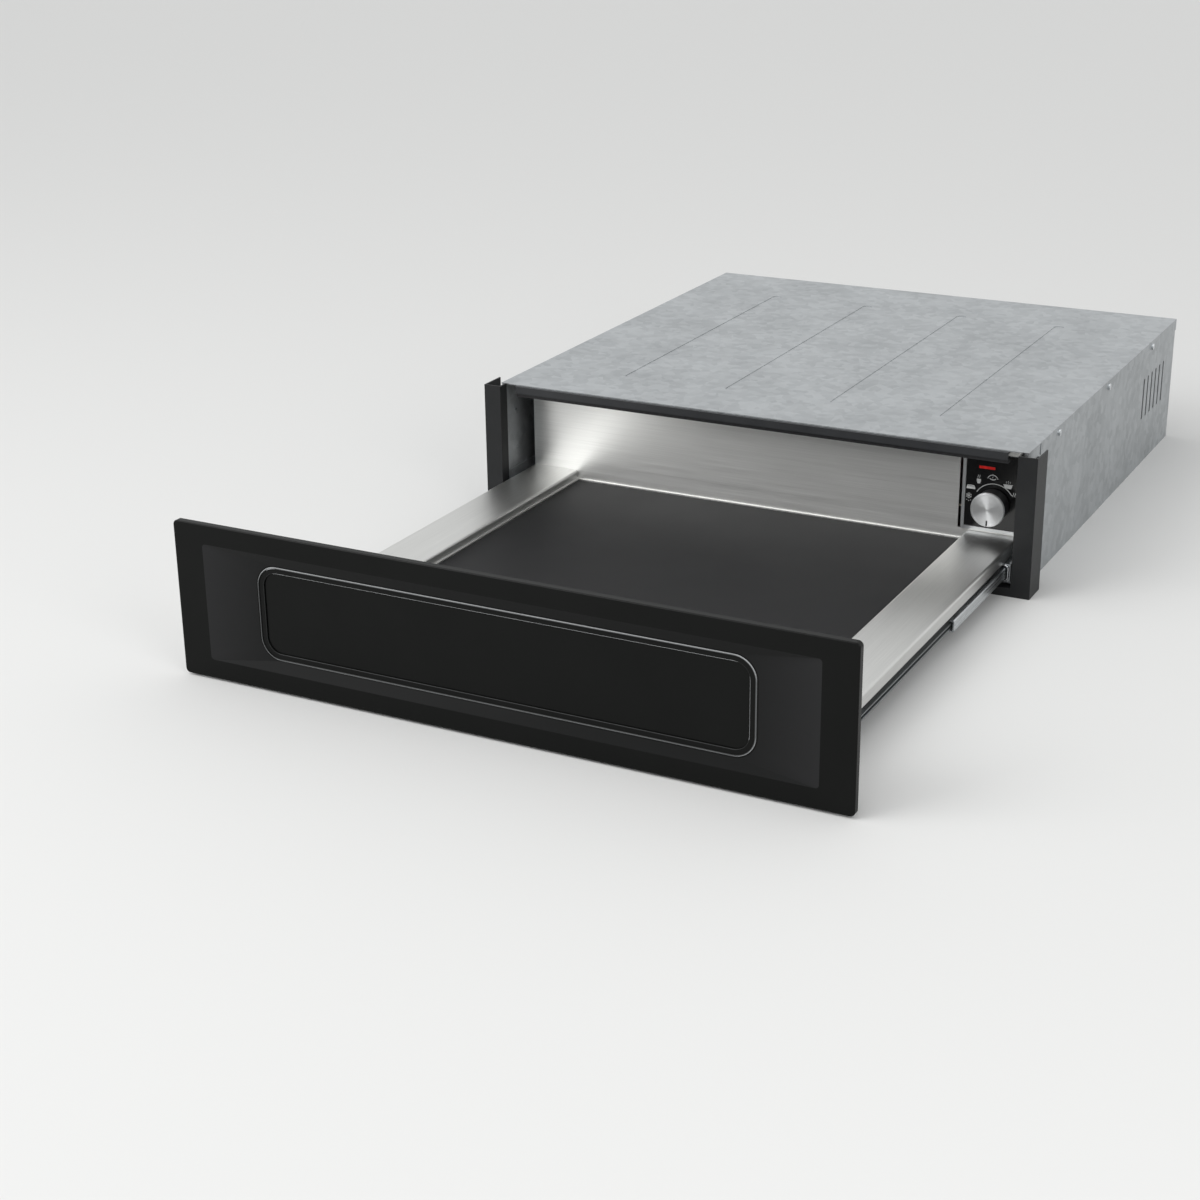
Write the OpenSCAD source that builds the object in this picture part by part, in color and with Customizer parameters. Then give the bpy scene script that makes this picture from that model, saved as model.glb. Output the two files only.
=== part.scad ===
// Built-in warming drawer, 60 cm wide and 14 cm high, standing open on its telescopic slides.
// Front towards -Y, +X to the right, +Z up. Origin: centre of the housing's underside.
// Pieces of the drawer are written where they lie when it is shut, and ride() brings them out.

/* [Housing] */
// Depth of the housing, from the face of the front frame to the back
body_depth = 550; // [500:5:600]
// Height of the housing
body_h = 133; // [128:0.5:134]
// Clear width between the side walls
bay_w = 536; // [530:1:540]
// Thickness of the housing sheet
shell_t = 1; // [0.8:0.1:1.2]
// Distance that the front frame stands out past each side wall
frame_overhang = 13; // [11:0.5:16]
// Width of an upright's face
upright_w = 18; // [16:0.5:18]
// Depth of the inner return of an upright
upright_return = 13; // [10:1:16]
// Depth of the outer return of an upright
upright_side = 30; // [26:1:40]
// Thickness of the frame sheet
frame_t = 1.2; // [1:0.1:1.5]
// Height of the bottom front rail
sill_h = 8; // [6:0.5:8.5]
// Distance from a side wall to the screw holes of the base
base_screw_inset = 28; // [23:1:48]
// Distance between the front and rear screw holes of the base
base_screw_l = 380; // [300:10:400]
// Radius of a screw hole in the base
base_screw_r = 2.25; // [2:0.05:2.5]

/* [Front panel] */
// Width of the front panel
front_w = 597; // [590:1:600]
// Height of the front panel
front_h = 135; // [130:0.5:140]
// Thickness of the front panel at its border
front_t = 6.2; // [5.8:0.1:7]
// Height of the panel's lower edge above the underside of the housing
front_lift = 2; // [1:0.5:4]
// Distance from the frame's face to the panel's face, with the drawer shut
front_standoff = 20; // [18:0.5:24]
// Radius of the panel's corners
front_corner_r = 4; // [3:0.5:8]
// Width of the flat border at the sides
border_side = 28; // [22:1:34]
// Height of the flat border at the top and bottom
border_rail = 16.8; // [14:0.1:18]
// Distance from the panel's side to the rim round the field
field_side = 78.5; // [70:0.5:90]
// Distance from the panel's top or bottom edge to the rim round the field
field_rail = 26.5; // [24:0.1:32]
// Corner radius of the field's rim
field_r = 19; // [14:0.5:22]
// Depth to which the four bevels lead in from the border
bevel_depth = 3.5; // [2.5:0.1:3.6]
// Width of the flat land round the field
land_w = 6.2; // [5:0.1:8]
// Depth of the field below its land
field_drop = 1.4; // [1:0.1:1.6]
// Radius of the bead along the rim
bead_r = 0.8; // [0.6:0.1:1]

/* [Drawer] */
// Travel of the drawer
drawer_travel = 450; // [400:5:460]
// Distance from the panel's face to the stainless rear wall
wall_distance = 520; // [510:1:524]
// Distance between a side flange and the upright beside it
flange_gap = 9; // [7:0.5:12]
// Width of a side flange
flange_w = 50; // [44:1:54]
// Height of the flange tops
flange_top = 40; // [38:0.5:44]
// Height of the flange's outer wall
flange_drop = 11; // [8:0.5:11]
// Thickness of the stainless sheet
steel_t = 1.2; // [1:0.1:1.4]
// Height of the glass surface
glass_top = 30; // [29:0.5:31]
// Thickness of the glass
glass_t = 4; // [4:0.5:5]
// Height of the pan's underside
pan_z = 10; // [9.5:0.1:10.5]
// Thickness of the pan's sheet
pan_t = 1; // [0.8:0.1:1.2]
// Thickness of the spacers between the slides and the pan
spacer_t = 3.4; // [2.9:0.1:5.4]
// Distance between the stainless rear wall's top edge and the lid
wall_gap = 4; // [3:0.5:8]

/* [Slides] */
// Length of each slide member
slide_len = 440; // [420:5:460]
// Setback of the fixed member from the frame's face
slide_setback = 7; // [4:1:14]
// Height of the slide's centre line
slide_z = 20; // [19:0.1:20]
// Half height of the fixed member
slide_half_h = 8.5; // [8.5:0.1:8.8]
// Depth of the fixed member, from its web to the edge of its lips
slide_depth = 9.5; // [9:0.1:9.8]
// Thickness of the slide's steel
slide_t = 1.2; // [1:0.1:1.2]
// Space for the outer balls between the lips
outer_track = 2; // [1.8:0.1:2.2]
// Space for the inner balls between the lips
inner_track = 1.6; // [1.4:0.1:1.7]
// Share of the drawer's travel that the middle member makes
middle_share = 0.32; // [0.3:0.01:0.36]
// Depth of the space between a housing wall and the fixed member
mount_depth = 8; // [6:0.5:9]
// Distance between the balls of one row
ball_pitch = 20; // [16:1:25]

/* [Controls] */
// Distance from the knob's axis to the side of the drawer
knob_inset = 26; // [23:1:29]
// Height of the knob's axis
knob_z = 68; // [64:1:70]
// Radius of the knob's cap
knob_r = 16; // [14:0.5:17]
// Distance that the knob stands out of the fascia
knob_reach = 20; // [16:0.5:24]
// Width of the cut-out for the control panel
panel_w = 59.5; // [55:0.5:63]
// Width of the air slot and of the aluminium trim beside it
trim_w = 3; // [2.5:0.1:3.5]
// Height of the fascia's top edge
fascia_top = 115; // [110:1:120]
// Radius of the thermostat's shaft
shaft_r = 3; // [2.5:0.1:3.2]
// Length of the pilot lamp's lens
lamp_w = 15; // [10:0.5:18]

/* [Heating and fan] */
// Radius of the tubular element
element_r = 3; // [2.5:0.1:3.1]
// Number of straight runs of the element
element_runs = 8; // [6:2:10]
// Distance between two runs of the element
element_pitch = 48; // [36:1:48]
// Depth of the rear compartment
rear_depth = 38; // [37:0.5:40]
// Outer radius of the fan rotor
fan_r = 15; // [13:0.5:15]
// Length of the fan rotor
fan_len = 220; // [160:5:240]
// Number of fan blades
fan_blades = 18; // [12:1:24]

/* [Latch and inlet] */
// Radius of the latch plunger
plunger_r = 5; // [4:0.5:6]
// Travel of the latch plunger
plunger_travel = 3; // [2:0.5:4]
// Radius of the hole for the mains cord
cord_hole_r = 4; // [3:0.25:4.5]

/* [Hidden] */

$fn = 48;
eps = 0.01;

// clearances
run_gap = 0.3;          // between a moving piece and a fixed one beside it
shaft_gap = 0.05;       // radial gap of a shaft in its bearing
ball_gap = 0.1;         // between a ball and each of its tracks
buffer_t = 1.2;         // thickness of the closing buffers
seal_t = 1;             // thickness of the glass seal
glass_gap = 0.3;        // between the glass and the walls round it

// sheet-metal screws
screw_head_r = 3.2;
screw_head_h = 2;
screw_r = 1.5;
screw_len = 3;
screw_hole_r = 1.65;

// housing
frame_y = -body_depth/2;
back_y = body_depth/2;
body_w = bay_w + 2*shell_t;
frame_w = body_w + 2*frame_overhang;
shell_y = frame_y + upright_return;
hem = 8;                // width of the folded hems that take the back screws
mouth_w = frame_w - 2*upright_w;
lid_flange = 12;
lid_t = 0.8;
lid_z = body_h - shell_t;
base_screw_w = bay_w - 2*base_screw_inset;
base_screw_y = 40;      // middle of the base's screw holes
upright_tab = 16;       // length of the flange that is screwed to the side wall
top_rail_gap = 12;      // the rail stops short of both uprights
top_rail_w = mouth_w - 2*top_rail_gap;
top_rail_h = 7;
top_seal_h = 4;
upstand = 0.8;          // from the bottom rail's top to the edge of the base's upstand
top_rail_y = frame_y + 9;

// front
front_y = frame_y - front_standoff;
carrier_y = frame_y - buffer_t - run_gap;
carrier_t = 1;
carrier_w = frame_w - 12;
carrier_low = front_lift + 6;
carrier_high = front_lift + front_h - 15;
buffer_r = 4.5;
buffer_inset = 6;       // from a buffer's axis to the edge of the carrier
liner_t = 1;
liner_w = mouth_w - 4;
tray_y = carrier_y + liner_t;
wall_y = front_y + wall_distance;
wall_top = lid_z - wall_gap;
tray_len = wall_y - tray_y;

// drawer section, seen from the front
tray_w = mouth_w - 2*flange_gap;
flange_in = tray_w/2 - flange_w;
foot_w = 1.6;           // width of the flange's foot on the glass
slide_x = bay_w/2 - mount_depth;
inner_depth = slide_depth + 1.1;
pan_w = 2*(slide_x - inner_depth - spacer_t);
glass_w = pan_w - 2*pan_t - 2*glass_gap;
glass_bottom = glass_top - glass_t;
seal_bottom = glass_bottom - seal_t;
ledge_w = 9;
ledge_t = 1;
insulation_t = 3;
reflector_t = 0.8;
reflector_z = pan_z + pan_t + insulation_t;
saddle_h = 1.8;
element_z = reflector_z + reflector_t + saddle_h + element_r;

// slides, seen from the front: "in" runs from the web of the fixed member towards the drawer
slide_y = frame_y + slide_setback;
outer_in_h = slide_half_h - slide_t;
middle_h = outer_in_h - outer_track;
middle_in_h = middle_h - slide_t;
inner_h = middle_in_h - inner_track;
middle_web = slide_t + 1.4;
inner_start = middle_web + slide_t + 1.6;
outer_ball_r = outer_track/2 - ball_gap;
inner_ball_r = inner_track/2 - ball_gap;
outer_ball_in = 6;
inner_ball_in = 7.4;
cage_t = 0.6;
outer_cage_len = 160;
outer_cage_start = 78;
inner_cage_len = 110;
inner_cage_start = 165;
outer_cage_share = middle_share/2;
inner_cage_share = (1 + middle_share)/2;
spacer_end = 30;        // from a spacer to the end of the slide
spacer_pitch = (slide_len - 2*spacer_end)/3;

// controls
knob_x = tray_w/2 - knob_inset;
panel_left = tray_w/2 - panel_w;
fascia_x0 = panel_left + 2*trim_w;
fascia_x1 = tray_w/2 - 1;
cutout_z = flange_top + 1;
fascia_z0 = cutout_z + trim_w;
bracket_t = 1;
lamp_x = knob_x - 8;
lamp_z = knob_z + 34;
lamp_h = 2.4;
thermostat_r = 17;
thermostat_len = 16;
tube_z = knob_z - 8;    // height at which the bulb's tube enters the thermostat

// rear compartment
cover_y = wall_y + steel_t;
tube_y = cover_y + 6;
cover_t = 0.8;
cover_x0 = -tray_w/2 + 43;
cover_x1 = tray_w/2 - 5;
cover_z0 = 12;
fan_y = cover_y + (rear_depth - cover_t)/2;
fan_z = 98;
motor_len = 16;
motor_x = cover_x0 + 28;
motor_gap = 34;         // from the motor to the fan
fan_x0 = motor_x + motor_len/2 + motor_gap;
fan_x1 = fan_x0 + fan_len;
fan_shaft_r = 2;
motor_w = 34;
motor_h = 44;
rotor_core_r = 10;
plate_t = 2;            // thickness of a bearing plate
plate_drop = 44;        // from the fan's axis to the plates' lower edge
stud_len = 8;

// latch and inlet
latch_x = -bay_w/2 + 33;
latch_z = 86;
latch_w = 24;
latch_len = 34;
latch_y = back_y - shell_t - latch_len;
plunger_reach = 8;
plunger_tip_y = latch_y - plunger_reach;
striker_len = plunger_tip_y - run_gap - cover_y;
inlet_z = 34;
gland_out = 12;

// ---------- shared shapes ----------

// moves a piece of the drawer from its shut place to the open one, or a share of that way
module ride(share = 1) {
    translate([0, -drawer_travel*share, 0]) children();
}

module on_side(side) {
    if (side < 0) mirror([1, 0, 0]) children();
    else children();
}

// box between two corners
module block(low, high) {
    translate(low) cube(high - low);
}

module rounded(w, h, r) {
    square([w - 2*r, h], center = true);
    square([w, h - 2*r], center = true);
    for (x = [-1, 1], y = [-1, 1]) translate([x*(w/2 - r), y*(h/2 - r)]) circle(r);
}

// sweeps an outline round a rounded rectangle; its X runs outwards from the corners' centres
module sweep_round(w, h, corner) {
    for (k = [0:3]) rotate([0, 0, 90*k]) {
        across = (k % 2 == 0 ? w : h)/2 - corner;
        along = (k % 2 == 0 ? h : w)/2 - corner;
        translate([across, along, 0]) rotate_extrude(angle = 90) children();
        translate([across, along, 0]) rotate([90, 0, 0]) linear_extrude(2*along) children();
    }
}

// extrudes an outline drawn in X and Z along Y
module along_y(y0, len) {
    translate([0, y0 + len, 0]) rotate([90, 0, 0]) linear_extrude(len) children();
}

module pan_head_screw() {
    cylinder(h = screw_head_h, r = screw_head_r, $fn = 24);
    translate([0, 0, -screw_len]) cylinder(h = screw_len + eps, r = screw_r, $fn = 24);
}

module screw_hole() {
    cylinder(h = 4*screw_head_h, r = screw_hole_r, center = true, $fn = 24);
}

// ---------- housing ----------

louvre_pitch = 16;
louvre_w = 5;
louvre_low = 52;
louvre_high = 96;

module side_louvres() {
    for (k = [0:5]) translate([0, back_y - 125 + louvre_pitch*k, 0])
        block([bay_w/2 - 1, 0, louvre_low], [body_w/2 + 1, louvre_w, louvre_high]);
}

module housing_shell() color("silver") {
    difference() {
        union() {
            block([-body_w/2, shell_y, 0], [body_w/2, back_y - shell_t, shell_t]);
            block([-mouth_w/2, shell_y, 0], [mouth_w/2, shell_y + shell_t, sill_h + upstand]);
            for (side = [-1, 1]) on_side(side) {
                block([bay_w/2, shell_y, 0], [body_w/2, back_y - shell_t, lid_z]);
                block([mouth_w/2, shell_y, 0], [bay_w/2 + eps, shell_y + shell_t, lid_z]);
                block([bay_w/2 - hem, back_y - 2*shell_t, 0], [bay_w/2 + eps, back_y - shell_t, lid_z]);
            }
        }
        for (side = [-1, 1]) on_side(side) side_louvres();
        for (x = [-3:3], y = [-1, 1]) translate([60*x, 60*y, 0])
            block([-20, -2.5, -1], [20, 2.5, shell_t + 1]);
        for (x = [-1, 1], y = [-1, 1]) translate([x*base_screw_w/2, base_screw_y + y*base_screw_l/2, 0])
            cylinder(h = 4, r = base_screw_r, center = true);
        screw_places() screw_hole();
    }
    // stiffening swages of the base, pressed upwards
    for (x = [-1, 1]) block([x*150 - 4, -200, shell_t - eps], [x*150 + 4, 200, shell_t + 1.4]);
}

module housing_lid() color("silver") {
    difference() {
        union() {
            block([-body_w/2 - lid_t, shell_y, lid_z], [body_w/2 + lid_t, back_y, body_h]);
            for (side = [-1, 1]) on_side(side)
                block([body_w/2, frame_y + 50, body_h - lid_flange], [body_w/2 + lid_t, back_y, body_h]);
        }
        // pressed swages that stiffen the sheet
        for (x = [-1.5:1:1.5]) translate([x*110, 0, body_h])
            linear_extrude(1, center = true) rounded(10, 380, 4.9);
        screw_places() screw_hole();
    }
}

module housing_back() color("silver") difference() {
    block([-body_w/2, back_y - shell_t, 0], [body_w/2, back_y, lid_z]);
    for (x = [0:7], z = [-1, 1]) translate([-150 + 45*x, back_y, 72 + 18*z])
        block([-16, -2, -2.5], [16, 1, 2.5]);
    translate([latch_x, back_y - 2, inlet_z]) rotate([-90, 0, 0]) cylinder(h = 4, r = 8 + run_gap/3);
    screw_places() screw_hole();
}

module upright(side) {
    outer = frame_w/2;
    inner = outer - upright_w;
    web_y = frame_y + upright_side - frame_t;
    on_side(side) difference() {
        union() {
            block([inner, frame_y, 0], [outer, frame_y + frame_t, body_h]);
            block([inner, frame_y, 0], [inner + frame_t, shell_y, body_h]);
            block([outer - frame_t, frame_y, 0], [outer, frame_y + upright_side, body_h]);
            block([body_w/2, web_y, 0], [outer, web_y + frame_t, body_h - lid_flange]);
            block([body_w/2, web_y, 0], [body_w/2 + frame_t, web_y + upright_tab, body_h - lid_flange]);
        }
        screw_places() screw_hole();
    }
}

module left_upright() color("#26272a") upright(-1);
module right_upright() color("#26272a") upright(1);

module top_rail() color("#3a3b3e") {
    half = top_rail_w/2;
    low = lid_z - top_rail_h;
    block([-half, top_rail_y, low], [half, top_rail_y + frame_t, lid_z]);
    block([-half, top_rail_y, lid_z - frame_t], [half, top_rail_y + 16, lid_z]);
    block([-half, top_rail_y, low], [half, top_rail_y + 9, low + frame_t]);
}

module top_seal() color("#17181a") {
    half = top_rail_w/2;
    low = lid_z - top_rail_h;
    block([-half, top_rail_y + 3, low - top_seal_h], [half, top_rail_y + 7, low]);
}

module bottom_rail() color("#26272a") {
    half = mouth_w/2;
    block([-half, frame_y, 0], [half, frame_y + frame_t, sill_h]);
    block([-half, frame_y, sill_h - frame_t], [half, shell_y, sill_h]);
    block([-half, frame_y, 0], [half, shell_y, frame_t]);
}

// every housing screw: the local Z runs out of the head
module screw_places() {
    tab_x = body_w/2 + frame_t;
    for (side = [-1, 1]) on_side(side) {
        for (z = [60, 100]) translate([tab_x, frame_y + upright_side + 6, z]) rotate([0, 90, 0]) children();
        for (y = [-1:1]) translate([body_w/2 + lid_t, 170*y, body_h - lid_flange/2]) rotate([0, 90, 0])
            children();
        for (z = [20, 110]) translate([bay_w/2 - hem/2, back_y, z]) rotate([-90, 0, 0]) children();
    }
}

module housing_screws() color("#b9bbbf") screw_places() pan_head_screw();

// ---------- slides ----------

// outline of a channel: web at the depth "web", lips to the depth "lip", open towards the drawer
module channel(web, lip, half_h) {
    difference() {
        union() {
            translate([slide_x - lip, slide_z - half_h]) square([lip - web - slide_t, 2*half_h]);
            translate([slide_x - web - slide_t, slide_z]) rounded(2*slide_t, 2*half_h, slide_t - eps);
        }
        translate([slide_x - lip - 1, slide_z - half_h + slide_t])
            square([lip + 1 - web - slide_t, 2*(half_h - slide_t)]);
    }
}

module slide_outer(side) on_side(side) difference() {
    along_y(slide_y, slide_len) channel(0, slide_depth, slide_half_h);
    for (y = [60, slide_len/2, slide_len - 60]) translate([slide_x - 2, slide_y + y, slide_z])
        rotate([0, 90, 0]) cylinder(h = 6, r = 2.5, $fn = 24);
}

module slide_middle(side) ride(middle_share) on_side(side)
    along_y(slide_y, slide_len) channel(middle_web, slide_depth, middle_h);

module slide_inner(side) ride() on_side(side) along_y(slide_y, slide_len) difference() {
    translate([slide_x - inner_depth, slide_z - inner_h]) square([inner_depth - inner_start, 2*inner_h]);
    translate([slide_x - inner_depth + slide_t, slide_z - inner_h + slide_t])
        square([inner_depth, 2*(inner_h - slide_t)]);
}

// cage strip over both rows of balls, joined behind by a web
module cage(side, share, start, len, web_in, ball_in, ball_z, ball_r) {
    rows = floor((len - ball_pitch/2)/ball_pitch);
    ride(share) on_side(side) difference() {
        along_y(slide_y + start, len) {
            translate([slide_x - web_in - cage_t, slide_z - ball_z - cage_t/2])
                square([cage_t, 2*ball_z + cage_t]);
            for (s = [-1, 1]) translate([slide_x - ball_in - 2, slide_z + s*ball_z - cage_t/2])
                square([ball_in + 2 - web_in, cage_t]);
        }
        for (k = [0:rows], s = [-1, 1])
            translate([slide_x - ball_in, slide_y + start + ball_pitch*(k + 0.4), slide_z + s*ball_z])
                cylinder(h = 2*cage_t, r = ball_r + ball_gap, center = true, $fn = 24);
    }
}

module balls(side, share, start, len, ball_in, ball_z, ball_r) {
    rows = floor((len - ball_pitch/2)/ball_pitch);
    ride(share) on_side(side) for (k = [0:rows], s = [-1, 1])
        translate([slide_x - ball_in, slide_y + start + ball_pitch*(k + 0.4), slide_z + s*ball_z])
            sphere(ball_r, $fn = 24);
}

outer_row_z = outer_in_h - outer_track/2;
inner_row_z = middle_in_h - inner_track/2;
outer_cage_web = slide_t + 0.4;
inner_cage_web = middle_web + slide_t + 0.5;

module outer_cage(side) cage(side, outer_cage_share, outer_cage_start, outer_cage_len,
    outer_cage_web, outer_ball_in, outer_row_z, outer_ball_r);
module inner_cage(side) cage(side, inner_cage_share, inner_cage_start, inner_cage_len,
    inner_cage_web, inner_ball_in, inner_row_z, inner_ball_r);
module outer_balls(side) balls(side, outer_cage_share, outer_cage_start, outer_cage_len,
    outer_ball_in, outer_row_z, outer_ball_r);
module inner_balls(side) balls(side, inner_cage_share, inner_cage_start, inner_cage_len,
    inner_ball_in, inner_row_z, inner_ball_r);

module slide_outer_left() color("#c9ccd0") slide_outer(-1);
module slide_outer_right() color("#c9ccd0") slide_outer(1);
module slide_middle_left() color("#c9ccd0") slide_middle(-1);
module slide_middle_right() color("#c9ccd0") slide_middle(1);
module slide_inner_left() color("#c9ccd0") slide_inner(-1);
module slide_inner_right() color("#c9ccd0") slide_inner(1);
module outer_cage_left() color("#9a9da2") outer_cage(-1);
module outer_cage_right() color("#9a9da2") outer_cage(1);
module inner_cage_left() color("#9a9da2") inner_cage(-1);
module inner_cage_right() color("#9a9da2") inner_cage(1);
module outer_balls_left() color("#e8eaec") outer_balls(-1);
module outer_balls_right() color("#e8eaec") outer_balls(1);
module inner_balls_left() color("#e8eaec") inner_balls(-1);
module inner_balls_right() color("#e8eaec") inner_balls(1);

// folded carrier that holds the fixed member off the side wall
module slide_mount(side) on_side(side) difference() {
    low = slide_z - slide_half_h - 1;
    high = slide_z + slide_half_h + 2;
    union() {
        block([slide_x, slide_y, low], [slide_x + shell_t, slide_y + slide_len, high]);
        block([slide_x, slide_y, high - shell_t], [bay_w/2, slide_y + slide_len, high]);
        block([bay_w/2 - shell_t, slide_y + upright_return, high - shell_t],
            [bay_w/2, slide_y + slide_len, high + 10]);
        block([slide_x, slide_y, low], [bay_w/2, slide_y + slide_len, low + shell_t]);
    }
    // the front end lies beside the uprights' returns and is cut back there
    block([mouth_w/2 - run_gap, frame_y - 1, 0], [bay_w/2 + 1, shell_y + shell_t + run_gap, body_h]);
    // windows between the fixings
    for (k = [-1:1]) block([slide_x - 1, slide_y + slide_len/2 + 100*k - 30, slide_z - 5],
        [slide_x + shell_t + 1, slide_y + slide_len/2 + 100*k + 30, slide_z + 5]);
}

module slide_mounts() color("#b4b6ba") for (side = [-1, 1]) slide_mount(side);

module slide_spacers() color("#9a9da2") ride() for (side = [-1, 1], k = [0:3])
    on_side(side) translate([pan_w/2, slide_y + spacer_end + spacer_pitch*k, slide_z]) rotate([0, 90, 0])
        cylinder(h = spacer_t, r = inner_h + 1, $fn = 32);

// ---------- drawer front ----------

edge_r = 1;             // rounding of the panel's edges
roll_r = 0.7;           // rounding of the land's edge over the field
well_r = 3;             // corner radius of the border's inner edge
bead_in = 0.3;          // from the rim to the side of the bead
root = 0.5;             // depth to which the land is rooted in the plate below the field
well_w = front_w - 2*border_side;
well_h = front_h - 2*border_rail;
rim_w = front_w - 2*field_side;
rim_h = front_h - 2*field_rail;
rim_z = front_t - bevel_depth;

// rounded outer edge of the panel
module panel_edge_outline() {
    square([front_corner_r, front_t - edge_r]);
    square([front_corner_r - edge_r, front_t]);
    translate([front_corner_r - edge_r, front_t - edge_r]) circle(edge_r, $fn = 24);
}

// land round the field: a bead along its outer side, and an inner edge rolled down to the field
module land_outline() {
    low = rim_z - field_drop - root;
    inner = field_r - land_w;
    translate([inner, low]) square([land_w/2 + roll_r, rim_z - roll_r - low]);
    translate([inner + roll_r, low]) square([land_w/2, rim_z - low]);
    translate([inner + roll_r, rim_z - roll_r]) circle(roll_r, $fn = 24);
    translate([field_r - bead_in - bead_r, rim_z]) circle(bead_r, $fn = 24);
}

// The panel is drawn facing up, X across and Y up the panel, and then stood on its edge.
module front_panel() color("#161816") ride()
    translate([0, front_y + front_t, front_lift + front_h/2]) rotate([90, 0, 0]) {
        difference() {
            union() {
                block([-front_w/2 + front_corner_r, -front_h/2 + front_corner_r, 0],
                    [front_w/2 - front_corner_r, front_h/2 - front_corner_r, front_t]);
                sweep_round(front_w, front_h, front_corner_r) panel_edge_outline();
            }
            // four bevels that lead from the border in to the rim
            hull() {
                translate([0, 0, rim_z]) linear_extrude(eps) rounded(rim_w, rim_h, field_r, $fn = 64);
                translate([0, 0, front_t]) linear_extrude(1) rounded(well_w, well_h, well_r, $fn = 32);
            }
            // field
            translate([0, 0, rim_z - field_drop]) linear_extrude(field_drop + 1)
                rounded(rim_w - land_w, rim_h - land_w, field_r - land_w/2);
        }
        sweep_round(rim_w, rim_h, field_r) land_outline();
    }

module front_carrier() color("#8d9095") ride() difference() {
    block([-carrier_w/2, front_y + front_t, carrier_low], [carrier_w/2, carrier_y, carrier_high]);
    block([-carrier_w/2 + carrier_t, front_y + front_t - 1, carrier_low + carrier_t],
        [carrier_w/2 - carrier_t, carrier_y - carrier_t, carrier_high - carrier_t]);
    front_screw_places() screw_hole();
}

module front_liner() color("#c3c5c8") ride() {
    low = carrier_low + carrier_t;
    difference() {
        union() {
            block([-liner_w/2, carrier_y, low], [liner_w/2, tray_y, carrier_high + liner_t]);
            block([-liner_w/2, carrier_y - 10, carrier_high], [liner_w/2, tray_y, carrier_high + liner_t]);
        }
        front_screw_places() screw_hole();
    }
}

module front_buffers() color("#202124") ride() for (x = [-1, 1], z = [carrier_low + 14, carrier_high - 10])
    translate([x*(carrier_w/2 - buffer_inset), carrier_y + buffer_t, z]) rotate([90, 0, 0])
        cylinder(h = buffer_t, r = buffer_r);

// ---------- drawer body ----------

module drawer_pan() color("#b4b6ba") ride() difference() {
    union() {
        block([-pan_w/2, tray_y, pan_z], [pan_w/2, wall_y, pan_z + pan_t]);
        for (side = [-1, 1]) on_side(side)
            block([pan_w/2 - pan_t, tray_y, pan_z], [pan_w/2, wall_y, flange_top - steel_t]);
        block([-pan_w/2, tray_y, pan_z], [pan_w/2, tray_y + pan_t, glass_bottom - seal_t]);
        block([-pan_w/2, wall_y - pan_t, pan_z], [pan_w/2, wall_y, glass_bottom - seal_t]);
    }
    // long swages pressed into the floor
    for (x = [-3:3]) translate([62*x, (tray_y + wall_y)/2, pan_z])
        linear_extrude(0.8, center = true) rounded(12, 380, 5.9);
    for (s = [-1, 1]) translate([s*element_pitch*(element_runs - 1)/2, wall_y, element_z])
        rotate([90, 0, 0]) cylinder(h = 4, r = element_r + run_gap/2, center = true, $fn = 24);
    translate([bulb_x, wall_y, bulb_z]) rotate([90, 0, 0])
        cylinder(h = 4, r = 1 + run_gap/2, center = true, $fn = 24);
    front_screw_places() screw_hole();
}

// screws that hold the pan to the front; the local Z runs out of the head
module front_screw_places() {
    pitch = (pan_w - 92)/3;
    for (x = [-1.5:1:1.5]) translate([x*pitch, tray_y + pan_t, pan_z + pan_t + screw_head_r + 0.6])
        rotate([-90, 0, 0]) children();
}

module front_screws() color("#b9bbbf") ride() front_screw_places() pan_head_screw();

// folded flange: top, rolled outer wall with a hem, inner wall with a foot on the glass
module flange_outline() {
    roll = 2.4;
    outer = tray_w/2;
    low = flange_top - flange_drop;
    wall = outer - roll;
    difference() {
        union() {
            translate([flange_in + roll, flange_top - steel_t]) square([flange_w - 2*roll, steel_t]);
            for (x = [flange_in + roll, outer - roll]) translate([x, flange_top - roll]) circle(roll);
        }
        for (x = [flange_in + roll, outer - roll]) translate([x, flange_top - roll]) circle(roll - steel_t);
        translate([flange_in - 1, flange_top - 2*roll - 1]) square([flange_w + 2, roll + 1]);
        translate([flange_in + roll, flange_top - 2*roll - 1])
            square([flange_w - 2*roll, 2*roll + 1 - steel_t]);
    }
    translate([outer - steel_t, low]) square([steel_t, flange_drop - roll]);
    translate([wall - 2, low]) square([roll + 2, steel_t]);
    translate([flange_in, glass_top]) square([steel_t, flange_top - glass_top - roll]);
    translate([flange_in - foot_w, glass_top]) square([foot_w + steel_t, steel_t]);
}

module flange(side) ride() on_side(side) along_y(tray_y, tray_len) flange_outline();
module left_flange() color("#c3c5c8") flange(-1);
module right_flange() color("#c3c5c8") flange(1);

module glass_base() color("#2c2c2e") ride()
    block([-glass_w/2, tray_y + glass_gap, glass_bottom], [glass_w/2, wall_y - glass_gap, glass_top]);

// flat ring along the edge of the glass
module edge_ring(low, high, width) difference() {
    block([-glass_w/2, tray_y + glass_gap, low], [glass_w/2, wall_y - glass_gap, high]);
    block([-glass_w/2 + width, tray_y + glass_gap + width, low - 1],
        [glass_w/2 - width, wall_y - glass_gap - width, high + 1]);
}

module glass_seal() color("#1b1c1e") ride() edge_ring(seal_bottom, glass_bottom, ledge_w - 3);

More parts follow.
